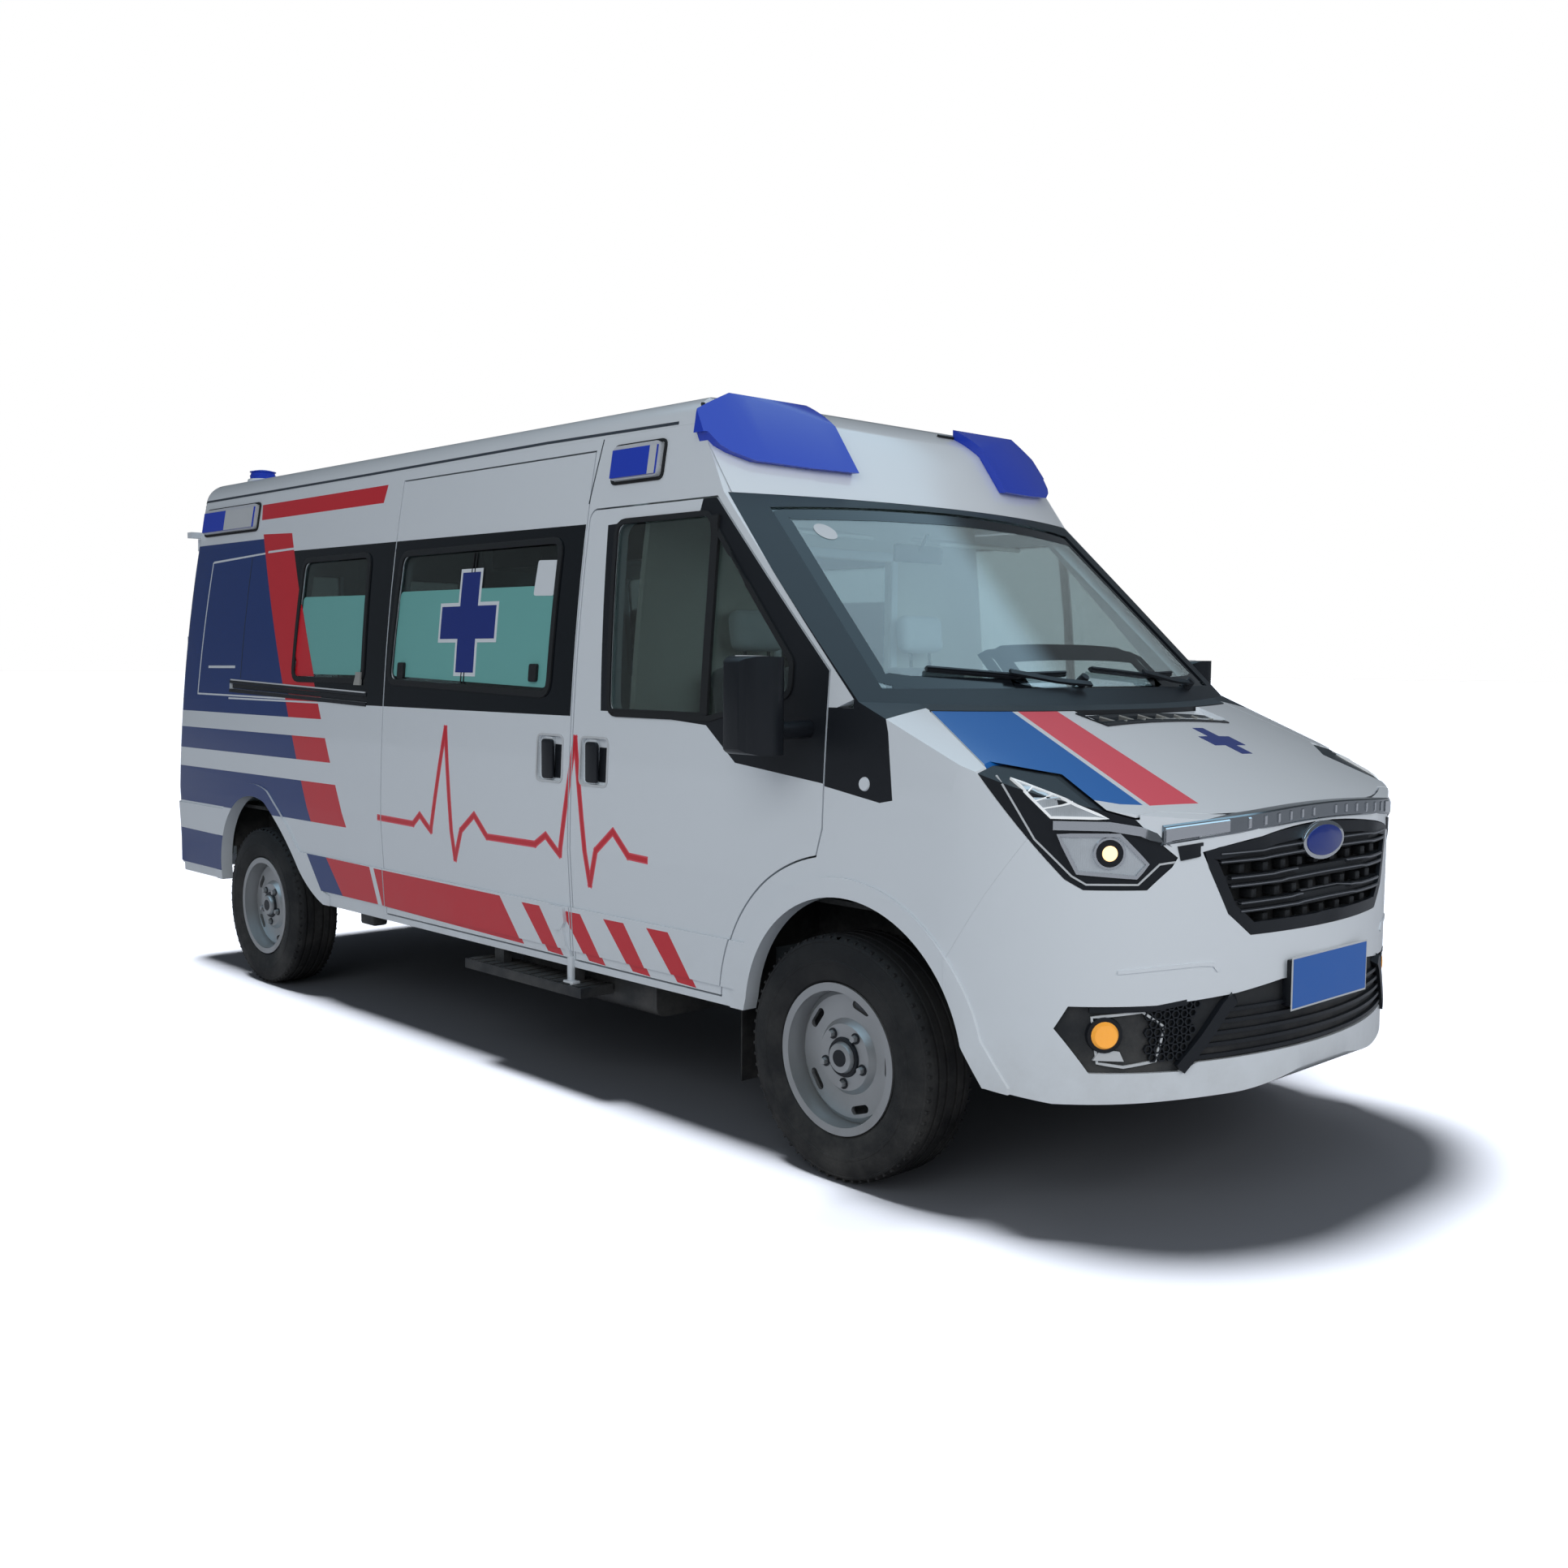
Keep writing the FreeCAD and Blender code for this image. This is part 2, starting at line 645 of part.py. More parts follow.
def pane(line, surface_hull, low=-FAR, high=0):
    """A pane that fills a window line, set back from the skin."""
    return surface_hull.common(across(line, low, high, -seat))


def build_front_doors():
    """Two hinged front doors with a pane each."""
    door = side_skin.common(across(front_door_line, -FAR, -600))
    door = cut_all(door, [across(front_window_line, -FAR, 0), arch_front, handle_recess(handle_spots["door"])])
    glass = pane(front_window_line, glass_skin)
    node("front_door_right", door)
    node("front_door_left", mirrored(door))
    node("front_door_glass_right", glass)
    node("front_door_glass_left", mirrored(glass))


def build_sliding_door():
    """Sliding side door, stored closed."""
    door = side_skin.common(across(slider_line, -FAR, -600))
    door = door.cut(across(slider_window_line, -FAR, 0))
    node("sliding_door", door.cut(handle_recess(handle_spots["slider"])))


def build_side_windows():
    """Fixed panes of the patient compartment."""
    front = pane(slider_window_line, glass_skin)
    rear = pane(rear_window_line, glass_skin)
    node("side_windows", Part.makeCompound([front, rear, mirrored(front), mirrored(rear)]))


def build_rear_doors():
    """Two rear doors hinged at the corners, with a pane each."""
    window = [
        (-690, mm.window_foot + 30),
        (-650, mm.window_top),
        (-90, mm.window_top),
        (-90, mm.window_foot + 30),
    ]
    slab = cabin_shell.common(across([
        (rear_face(0) - 100, 0),
        (rear_face(FAR) - 100, FAR),
        (rear_face(FAR, mm.wall), FAR),
        (rear_face(0, mm.wall), 0),
    ]))
    door = slab.common(rear_leaf()).cut(along(window))
    for part in rear_hinges(True):
        door = door.fuse(part)
    glass = glass_skin.common(along(window, -FAR, rear_face(crown_height) + 140, -seat))
    node("rear_door_right", door)
    node("rear_door_left", mirrored(door))
    node("rear_door_glass_right", glass)
    node("rear_door_glass_left", mirrored(glass))


def screen_line(grow=0.0):
    """Front view of the windscreen opening."""
    return along([
        (-865, mm.screen_foot_height + 45),
        (-775, mm.header_height - 45),
        ((0, mm.header_height - 20), (775, mm.header_height - 45)),
        (865, mm.screen_foot_height + 45),
        ((0, mm.screen_foot_height + 15), (-865, mm.screen_foot_height + 45)),
    ][:-1], 1000, FAR, grow)


def build_screen():
    """Windscreen and the frame round it."""
    front = across([
        (corner_high[0] + 1, mm.header_height - seat),
        (corner_low[0] + 1, corner_low[1]),
        (corner_low[0] + 1, ledge + seat),
        (FAR, ledge + seat),
        (FAR, mm.header_height - seat),
    ])
    frame = cabin_shell.common(front).cut(screen_line())
    node("screen_frame", frame)
    node("windscreen", glass_skin.common(front).common(screen_line(-seat)))


def bonnet_plan(grow=0.0):
    """Plan of the bonnet between the wings, lamps and cowl."""
    half = mm.bonnet_half_width
    corner_x = mm.bonnet_front_x - 130
    return upward([
        (2105, -half),
        (2400, -905),
        (2620, -890),
        (corner_x - 5, -770),
        (corner_x, -640),
        ((corner_x + 140, 0), (corner_x, 640)),
        (corner_x - 5, 770),
        (2620, 890),
        (2400, 905),
        (2105, half),
        ((mm.bonnet_foot_x + 8, 0), (2105, -half)),
    ], 900, FAR, grow)


def bonnet_above(gap=0.0):
    """Side view of what the bonnet covers, down to a gap under its front edge."""
    front = mm.bonnet_front_height + 6 - gap
    return across([(1900, 1250), (2440, 1150), (2600, front), (FAR, front), (FAR, FAR), (1900, FAR)])


def lamp_cut(grow=0.0):
    """Side view of a headlamp, on both corners of the nose."""
    right = across(lamp_line, -FAR, -548, grow)
    return right.fuse(across(lamp_line, 548, FAR, grow))


def grille_cut(grow=0.0):
    """Front view of the grille between the lamps."""
    return along([(-527, 1022), (-441, 852), (-360, 788), (360, 788), (441, 852), (527, 1022),
                  ((0, 1076), (-527, 1022))], mm.front_axle_x + 500, FAR, grow)


def intake_cut(grow=0.0):
    """Front view of the lower intake, with the fog lamp pods at its ends."""
    return along([(-861, 562), (-838, 622), (-629, 620), (-402, 634), (-229, 655), (229, 655), (402, 634),
                  (629, 620), (838, 622), (861, 562), (798, 444), (573, 437), (526, 457), (-526, 457),
                  (-573, 437), (-798, 444)],
                 mm.front_axle_x + 500, FAR, grow)


def build_nose_panels():
    """Bonnet, front wings, bumper, lamps and grille."""
    gap = mm.panel_gap
    thin = outer_nose.cut(nose(mm.bonnet_thickness, mm.bumper_foot - 50))
    top = thin.common(bonnet_plan())
    node("bonnet", cut_all(top.common(bonnet_above()), [lamp_cut(gap), vent_pocket()]))

    skin = nose_shell.fuse(raised_nose()).fuse(mirrored(raised_nose()))
    skin = skin.cut(bonnet_plan(gap).common(bonnet_above(gap)))
    skin = skin.cut(arch_front)
    skin = skin.cut(outer_cabin)
    wing_zone = across([(nose_rear, -FAR), (nose_rear, FAR), (FAR, FAR), (2600, 1150), (2440, 905),
                        (2330, 720), (2330, -FAR)])
    wing = skin.common(wing_zone).cut(lamp_cut(seat)).common(block(-FAR, FAR, -FAR, -500, -FAR, FAR))
    wing = wing.cut(cowl_plan(seat))
    band = side_skin.common(arch_band_zone())
    band = cut_all(band, [across(front_door_line, -FAR, 0, gap), arch_front])
    wing = wing.fuse(band)
    stop = nose(mm.bonnet_thickness + seat, mm.bumper_foot).cut(nose(mm.bumper_wall, mm.bumper_foot - 50))
    stop = stop.common(block(2200, 2240, -mm.bonnet_half_width - 75, -mm.bonnet_half_width, 900, FAR))
    wing = wing.fuse(stop)
    for height in (1050, 1290):
        leaf = block(mm.door_front_x + seat, nose_rear + 12, -957, -937, height, height + 80)
        wing = wing.fuse(leaf)
    node("front_wings", both(wing))
    bumper_zone = across([(2330 + seat, -FAR), (2330 + seat, 720 - seat), (2440, 905 - seat * 2),
                          (2600 + seat, 1150 - seat), (FAR, 1150), (FAR, -FAR)])
    bumper = skin.common(bumper_zone)
    bumper = cut_all(bumper, [lamp_cut(seat), grille_cut(), intake_cut()])
    node("front_bumper", bumper)
    lamp_skin = nose(3, mm.bumper_foot).cut(nose(mm.bumper_wall, mm.bumper_foot - 50))
    node("headlamps", lamp_skin.common(lamp_cut()))
    back = nose(12, mm.bumper_foot).cut(nose(mm.bumper_wall, mm.bumper_foot - 50))
    grille = back.common(grille_cut(-seat))
    for k in range(3):
        z = mm.slat_foot + mm.slat_pitch * k
        opening = block(mm.front_axle_x + 500, FAR, -FAR, FAR, z, z + mm.slat_opening)
        grille = grille.cut(opening.common(grille_cut(-30)))
    node("grille", grille)
    node("bumper_inserts", back.common(intake_cut(-seat)))


def vent_pocket():
    """Recess of the air vents near the rear edge of the bonnet."""
    zone = upward(rounded([(2215, -274), (2195, 470), (2290, 500), (2308, -243)], 12), 900, FAR)
    return outer_nose.common(zone).cut(nose(12, mm.bumper_foot))


def cowl_plan(grow=0.0):
    """Plan of the cowl behind the bonnet."""
    half = mm.bonnet_half_width
    gap = mm.panel_gap
    return upward([
        (1990, -half), (2105 - gap, -half), ((mm.bonnet_foot_x + 8 - gap, 0), (2105 - gap, half)), (1990, half),
    ], 1100, FAR, grow)


def build_cowl():
    """Black cowl between bonnet and windscreen."""
    node("cowl", outer_nose.cut(outer_cabin).common(cowl_plan()).cut(inner_nose))


def front_bay():
    """Room for the left front wheel, open to the outside and below."""
    return block(mm.front_axle_x - mm.bay_half_length, FAR, mm.liner_half_width, FAR, -FAR, mm.liner_height)


def rear_bay(inset=0.0):
    """Room for the left rear wheel, made smaller by a tub's thickness."""
    reach = mm.rear_bay_half_length - inset
    return block(rear_axle_x - reach, rear_axle_x + reach,
                 mm.tub_half_width + inset, FAR, -FAR, mm.liner_height - inset)


def rear_sill(grow=0.0):
    """Cross member under the rear doors, on the ends of the frame rails."""
    half = 600 - seat + grow
    return block(-FAR, mm.rail_rear_x + 50 + grow, -half, half, 490 - grow,
                 mm.rear_door_foot - mm.panel_gap + grow)


def build_floor():
    """Level load floor, cut out over the wheels."""
    room = cabin(mm.wall + seat, floor_under)
    plate = room.common(block(-FAR, nose_rear - 60, -FAR, FAR, floor_under, mm.floor_top))
    plate = plate.fuse(block(nose_rear - 100, mm.bulkhead_x, -lining_half_width, lining_half_width,
                             floor_under, mm.floor_top))
    for bay in (front_bay(), rear_bay()):
        plate = plate.cut(bay).cut(mirrored(bay))
    node("floor", plate.cut(rear_sill(seat)).removeSplitter())


def build_wheel_houses():
    """Cab bulkhead with the front wheel houses, and the tubs over the rear wheels."""
    rear = mm.front_axle_x - mm.bay_half_length
    outer = lining_half_width - 20
    wall = block(mm.bulkhead_x - mm.sheet, mm.bulkhead_x, -outer, outer, mm.floor_top, 1290)
    inner = block(rear, mm.bulkhead_x, mm.liner_half_width - mm.sheet, mm.liner_half_width,
                  mm.floor_top, mm.liner_height + mm.sheet)
    lid = block(rear, mm.bulkhead_x, mm.liner_half_width, outer, mm.liner_height, mm.liner_height + mm.sheet)
    heel = block(rear - mm.sheet, rear, mm.liner_half_width - mm.sheet, outer,
                 mm.floor_top, mm.liner_height + mm.sheet)
    strut = bar(mm.strut_radius, (mm.front_axle_x, mm.strut_half_track, mm.strut_foot + seat),
                (mm.front_axle_x, mm.strut_half_track, mm.liner_height))
    house = inner.fuse(lid).fuse(heel).fuse(strut)
    wall = cut_all(wall, [front_bay(), mirrored(front_bay())])
    node("bulkhead", wall.fuse(house).fuse(mirrored(house)).removeSplitter())
    inside = block(-FAR, FAR, 0, lining_half_width, mm.floor_top, FAR)
    tub = rear_bay(-mm.sheet).cut(rear_bay()).common(inside)
    node("wheel_tubs", both(tub))


def build_frame():
    """Frame rails with the front cross member, the rear sill and the towing eye."""
    inner = mm.rail_half_spacing - mm.rail_width / 2
    outer = mm.rail_half_spacing + mm.rail_width / 2
    rail_foot = floor_under - mm.rail_height
    rail = block(mm.rail_rear_x, mm.rail_front_x, inner, outer, rail_foot, floor_under)
    x, y = mm.front_axle_x, mm.kingpin_half_track
    arm = block(x - 45, x + 45, 400, y, mm.arm_foot, mm.arm_foot + mm.arm_height)
    tip = bar(mm.kingpin_radius + 14, (x, y, mm.arm_foot), (x, y, mm.arm_foot + mm.arm_height))
    post = block(x - 45, x + 45, 400, 470, mm.arm_foot, rail_foot)
    half = rail.fuse(arm).fuse(tip).fuse(post)
    member = block(1750, 2400, -outer, outer, rail_foot - 80, rail_foot)
    sill = outer_cabin.common(rear_sill())
    eye_x, eye_z = mm.rail_rear_x - mm.eye_reach, rail_foot + 10
    rim = mm.eye_radius + mm.eye_rim
    eye = block(eye_x, mm.rail_rear_x + 60, inner + 30, outer - 30, eye_z - rim, eye_z + rim)
    eye = eye.fuse(bar(rim, (eye_x, inner + 30, eye_z), (eye_x, outer - 30, eye_z)))
    eye = eye.cut(bar(mm.eye_radius, (eye_x, inner, eye_z), (eye_x, outer, eye_z)))
    frame = half.fuse(mirrored(half)).fuse(member).fuse(sill).fuse(eye)
    node("frame_rails", frame.removeSplitter())


def build_engine():
    """Engine and gearbox as one plain block at their real place."""
    node("engine_block", block(2110, 2600, -280, 280, floor_under - mm.rail_height, 1010))


def build_knuckles():
    """Steering knuckles with the front wheel spindles, turning about their kingpins."""
    x, y, z = mm.front_axle_x, mm.kingpin_half_track, tyre_radius
    foot = mm.arm_foot + mm.arm_height + seat
    upright = bar(mm.kingpin_radius, (x, y, foot), (x, y, mm.strut_foot - 6))
    hub = bar(52, (x, y - 20, z), (x, half_track + mm.disc_offset - 20, z))
    spindle = bar(mm.spindle_radius, (x, y, z), (x, half_track + mm.spindle_reach, z))
    head = block(x - 26, x + 26, mm.strut_half_track - 26, y + 10, mm.strut_foot - 36, mm.strut_foot)
    knuckle = upright.fuse(hub).fuse(spindle).fuse(head)
    node("knuckle_left", knuckle)
    node("knuckle_right", mirrored(knuckle))


def turned(profile):
    """A closed (radius, y) section turned round the wheel's axis."""
    outline = wire(profile, lambda p: Vector(p[0], p[1], 0))
    return Part.Face(outline).revolve(Vector(0, 0, 0), Vector(0, 1, 0), 360)


def rim_shape():
    """Pressed steel wheel, its axis along Y and its outer side towards +Y."""
    half = mm.rim_width / 2
    lip = half + mm.rim_lip
    bead = mm.rim_radius
    edge = bead + mm.rim_flange
    barrel = bead - mm.rim_thickness
    well = barrel - 12
    disc = mm.disc_offset
    back = disc + 10
    face = back + mm.disc_thickness
    bore = mm.spindle_radius + mm.spindle_play
    rim = turned([
        (bead, -half), (edge, -half), (edge, -lip), (barrel, -lip), (well, disc - 30), (178, disc - 8),
        (105, disc - 8), (90, back), (bore, back), (bore, face), (98, face), (113, disc + 4), (182, disc + 4),
        (barrel, disc - 10), (barrel, lip), (edge, lip), (edge, half), (bead, half),
    ])
    for k in range(int(mm.slot_count)):
        end, wide = mm.slot_length / 2, mm.slot_width / 2
        slot = prism(rounded([(mm.slot_circle - wide, -end), (mm.slot_circle + wide, -end),
                              (mm.slot_circle + wide, end), (mm.slot_circle - wide, end)], 0.99 * wide),
                     lambda p: Vector(p[0], -60, p[1]), Vector(0, 180, 0))
        slot.rotate(Vector(0, 0, 0), Vector(0, 1, 0), 360 / mm.slot_count * k)
        rim = rim.cut(slot)
    return rim


def tyre_shape():
    """Tyre with bulged walls, square shoulders and a flat tread."""
    bead = mm.rim_width / 2 - seat
    inner = mm.rim_radius + seat
    half = mm.tyre_width / 2
    wall = [(mm.rim_radius + mm.rim_flange + 1, bead), (inner + 60, half), (tyre_radius - 18, half - 14),
            (tyre_radius, half - 36)]
    return turned([(inner, -bead)] + [(r, -y) for r, y in wall] + wall[::-1] + [(inner, bead)])


def build_wheels():
    """Four wheels, each a rim and a tyre."""
    rim, tyre = rim_shape(), tyre_shape()
    for end, x in (("front", mm.front_axle_x), ("rear", rear_axle_x)):
        for side, sign in (("left", 1), ("right", -1)):
            for name, shape in (("rim", rim), ("tyre", tyre)):
                piece = shape.copy()
                if sign < 0:
                    piece = mirrored(piece)
                node("%s_%s_%s" % (name, end, side), piece, Vector(x, sign * half_track, tyre_radius))


def build_rear_axle():
    """Rear axle with its spindles, leaf springs and the propeller shaft."""
    x, z = rear_axle_x, tyre_radius
    axle = bar(42, (x, -half_track + 60, z), (x, half_track - 60, z))
    reach = half_track + mm.spindle_reach
    axle = axle.fuse(bar(mm.spindle_radius, (x, -reach, z), (x, reach, z)))
    casing = turned([(0, -150), (60, -150), (135, -60), (135, 60), (60, 150), (0, 150)])
    casing.translate(Vector(x, 0, z))
    axle = axle.fuse(casing).fuse(bar(35, (x, 0, z + 5), (1740, 0, 400)))
    spring = block(x - 600, x + 600, 530, 600, z + 42, z + 82)
    for end in (-600, 540):
        spring = spring.fuse(block(x + end, x + end + 60, 530, 600, z + 42, floor_under))
    spring = spring.fuse(block(x - 60, x + 60, 530, 600, z + 20, z + 60))
    node("rear_axle", axle.fuse(spring).fuse(mirrored(spring)))


def build_underside():
    """Fuel tank and exhaust."""
    under = floor_under
    tank = block(150, 950, -860, -520, 300, under)
    node("fuel_tank", tank.makeFillet(40, [e for e in tank.Edges if abs(e.BoundBox.XLength) > 700]))
    pipe = bar(28, (-2600, 250, 500), (1700, 250, 500))
    node("exhaust", pipe.fuse(bar(95, (-300, 250, 460), (700, 250, 460))).cut(block(-FAR, FAR, -FAR, FAR, under - seat, FAR)))


def build_cab():
    """Dashboard, steering wheel and seats."""
    lean = math.radians(mm.column_lean)
    column = Vector(-math.sin(lean), 0, math.cos(lean))
    wheel_centre = Vector(mm.steering_x, mm.steering_y, mm.steering_height)
    root = wheel_centre - column * mm.shroud_length
    dash_rear = root.x - 40
    dash = across([
        (mm.bulkhead_x - mm.sheet - 2, root.z - 220), (dash_rear + 60, root.z - 220), (dash_rear, root.z - 60),
        (dash_rear, root.z + 130), (dash_rear + 80, root.z + 200), (mm.bulkhead_x - mm.sheet - 2, root.z + 220),
    ], -820, 820)
    shroud = bar(45, tuple(wheel_centre - column * (90 + seat)), tuple(root - column * 40))
    node("dashboard", dash.fuse(shroud).removeSplitter())
    seats = []
    for y in (-mm.steering_y, mm.steering_y):
        base = block(1020, 1415, y - 240, y + 240, mm.floor_top, mm.floor_top + 280)
        low = mm.floor_top + 280
        back = across([(1020, low - 10), (1130, low - 10), (1040, low + 620), (950, low + 620)], y - 235, y + 235)
        cushion = block(1100, 1500, y - 245, y + 245, low, low + 120)
        head = block(950, 1030, y - 130, y + 130, low + 640, low + 800)
        neck = block(975, 1005, y - 60, y + 60, low + 600, low + 650)
        seats.append(base.fuse(cushion).fuse(back).fuse(neck).fuse(head).removeSplitter())
    node("cab_seats", Part.makeCompound(seats))
    grip, radius = mm.grip_radius, mm.steering_radius
    rounding = [(radius + grip * math.cos(math.radians(a)), grip * math.sin(math.radians(a)))
                for a in range(0, 360, 45)]
    ring = turned(rounding)
    ring.rotate(Vector(0, 0, 0), Vector(1, 0, 0), 90)
    ring = ring.fuse(Part.makeCylinder(45, 40, Vector(0, 0, -30)))
    for k in range(3):
        spoke = block(30, radius, -18, 18, -8, 6)
        spoke.rotate(Vector(0, 0, 0), Vector(0, 0, 1), 120 * k)
        ring = ring.fuse(spoke)
    ring = ring.fuse(Part.makeCylinder(22, 70, Vector(0, 0, -90)))
    ring.rotate(Vector(0, 0, 0), Vector(0, 1, 0), -mm.column_lean)
    ring.translate(wheel_centre)
    node("steering_wheel", ring)


def build_patient_room():
    """Partition behind the cab and the cabinets along the left wall."""
    x = mm.partition_x
    room = cabin(mm.wall + seat, mm.floor_top + seat)
    wall = room.common(block(x - 25, x, -FAR, FAR, -FAR, FAR))
    wall = wall.cut(block(-FAR, FAR, -250, 330, 900, 1900))
    node("partition", wall)
    lower = room.common(block(-2300, 500, 480, FAR, -FAR, 1250))
    upper = room.common(block(-2300, 500, 600, FAR, 2000, 2250))
    node("cabinets", Part.makeCompound([lower.cut(rear_bay(-mm.sheet - seat)), upper]))


def build_lamps():
    """Tail lamps, roof lights and beacons."""
    lamp = cabin_shell.common(tail_lamp_zone()).common(block(-FAR, FAR, -FAR, -800, -FAR, FAR))
    node("tail_lamps", both(lamp))
    domes = []
    for x, y in ((-2545, -600), (-2545, 600)):
        foot = shoulder_height - 18
        lamp = Part.makeCylinder(75, 25, Vector(x, y, foot)).fuse(Part.makeCylinder(60, 90, Vector(x, y, foot + 10)))
        domes.append(lamp.cut(outer_cabin))
    node("roof_beacons", Part.makeCompound(domes))
    pods = cabin(-28, mm.sill_height).cut(outer_cabin)
    pod = along([(-FAR, 2300), (-872, 2243), (-853, 2200), (-823, 2178), (-756, 2152), (-562, 2140), (-388, 2137),
                 (-365, FAR), (-FAR, FAR)], 1168, 1600)
    node("roof_light_pods", both(pods.common(pod)))
    sides = []
    for x0, x1 in ((745, 985), (-2587, -2030)):
        lens = cabin(-26, mm.sill_height).cut(outer_cabin).common(
            block(x0, x1, -FAR, 0, 2130, 2225))
        sides.append(lens)
    node("side_beacons", Part.makeCompound(sides + [mirrored(p) for p in sides]))


def build_outside():
    """Rear bumper, side step, mud flaps and mirrors."""
    step = mm.step_half_width
    bumper = upward([(-2640, -970), (-2740, -978), (-2798, -940), (-2818, -880), (-2826, -step - 70),
                     (mm.tail_x, -step), (mm.tail_x, step), (-2826, step + 70), (-2818, 880), (-2798, 940),
                     (-2740, 978), (-2640, 970)], 490, 628)
    corner = cabin(-mm.flare_proud, mm.sill_height + 40).common(block(-FAR, rx - 330, -FAR, -918, -FAR, 790))
    corner = corner.cut(flare(arch_rear_line))
    bumper = bumper.fuse(corner).fuse(mirrored(corner))
    node("rear_bumper", bumper.cut(outer_cabin).removeSplitter())
    step = block(-20, 720, -1010, -870, 350, 385)
    for x in (100, 560):
        step = step.fuse(block(x, x + 60, -955, -920, 385, mm.sill_height))
    node("side_step", step)
    flaps = []
    for x in (mm.front_axle_x - mm.bay_half_length, rear_axle_x - mm.rear_bay_half_length):
        flaps.append(block(x + seat, x + seat + 6, -905, -760, 190, 600))
    node("mud_flaps", Part.makeCompound(flaps + [mirrored(f) for f in flaps]))
    head = upward([(1680, -1076), ((1722, -1066), (1790, -1074)), ((1828, -1135), (1768, -1196)),
                   ((1720, -1210), (1680, -1204))], 1250, 1532)
    front = along(rounded([(-1212, 1250), (-1212, 1532), (-1064, 1526), (-1064, 1250)], 38))
    arm = bar(26, (1760, -1090, 1315), (1790, -960, 1320))
    mirror = head.common(front).fuse(arm).cut(outer_cabin)
    node("mirror_right", mirror)
    node("mirror_left", mirrored(mirror))


def main():
    """Builds every piece, checks it and writes it out."""
    build_roof()
    build_sides()
    build_front_doors()
    build_sliding_door()
    build_side_windows()
    build_rear_doors()
    build_screen()
    build_nose_panels()
    build_cowl()
    build_floor()
    build_wheel_houses()
    build_frame()
    build_engine()
    build_knuckles()
    build_wheels()
    build_rear_axle()
    build_underside()
    build_cab()
    build_patient_room()
    build_lamps()
    build_outside()


glass_skin = cabin(mm.glass_inset, mm.sill_height).cut(
    cabin(mm.glass_inset + mm.glass, mm.sill_height - 50))
side_skin = cabin_shell.fuse(raised_sides())
main()
doc.recompute()
faults = [item.Name for item in doc.Objects if {"Invalid", "Error"} & set(item.State)]
faults += [item.Label for item in nodes if item.Shape.isNull() or not item.Shape.isValid()]
if faults:
    raise SystemExit("failed: " + ", ".join(faults))
os.makedirs("parts", exist_ok=True)
box = FreeCAD.BoundBox()
for item in nodes:
    item.Shape.exportStep("parts/%s.step" % item.Label)
    box.add(item.Shape.BoundBox)
    print(item.Label, len(item.Shape.Solids), round(item.Shape.Volume / 1e6, 2))
print("box", box)
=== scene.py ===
"""Looks of the ambulance: paint and livery, glass, lamps, wheels, cab and patient room.

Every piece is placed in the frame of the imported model, in metres: +X points forward,
+Y to the left and +Z up.
"""

import logging
import math
from dataclasses import dataclass, field
from enum import Enum
from typing import Callable, Iterable, Optional, Sequence

import bmesh
import bpy
from mathutils import Matrix, Vector
from mathutils.bvhtree import BVHTree


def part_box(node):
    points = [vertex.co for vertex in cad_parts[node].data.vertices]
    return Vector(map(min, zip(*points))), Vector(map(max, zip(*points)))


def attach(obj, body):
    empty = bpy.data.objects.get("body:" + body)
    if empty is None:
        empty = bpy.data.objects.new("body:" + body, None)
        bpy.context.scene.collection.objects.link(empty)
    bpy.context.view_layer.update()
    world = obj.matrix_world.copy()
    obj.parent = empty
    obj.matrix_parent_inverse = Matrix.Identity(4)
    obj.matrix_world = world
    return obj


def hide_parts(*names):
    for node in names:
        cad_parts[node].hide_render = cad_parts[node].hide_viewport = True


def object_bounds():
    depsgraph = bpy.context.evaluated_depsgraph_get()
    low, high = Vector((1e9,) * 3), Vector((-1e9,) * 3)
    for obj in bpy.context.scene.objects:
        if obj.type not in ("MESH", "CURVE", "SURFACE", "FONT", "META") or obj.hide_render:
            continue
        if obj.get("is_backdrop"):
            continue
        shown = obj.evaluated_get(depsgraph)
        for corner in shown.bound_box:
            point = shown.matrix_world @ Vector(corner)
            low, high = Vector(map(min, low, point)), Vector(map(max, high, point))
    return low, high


log = logging.getLogger("ambulance")

Point2 = tuple[float, float]
Point3 = tuple[float, float, float]
Color = tuple[float, float, float]
Shape = bmesh.types.BMesh
Socket = bpy.types.NodeSocket
Tree = bpy.types.NodeTree

FORWARD: Point3 = (1.0, 0.0, 0.0)
BACKWARD: Point3 = (-1.0, 0.0, 0.0)
UP: Point3 = (0.0, 0.0, 1.0)
SIDES = ((-1.0, "right"), (1.0, "left"))

SIDE_START = 0.95
RAY_START = 2.0
SIDE_FACING = 0.08
TOP_FACING = 0.2


# Shader graphs


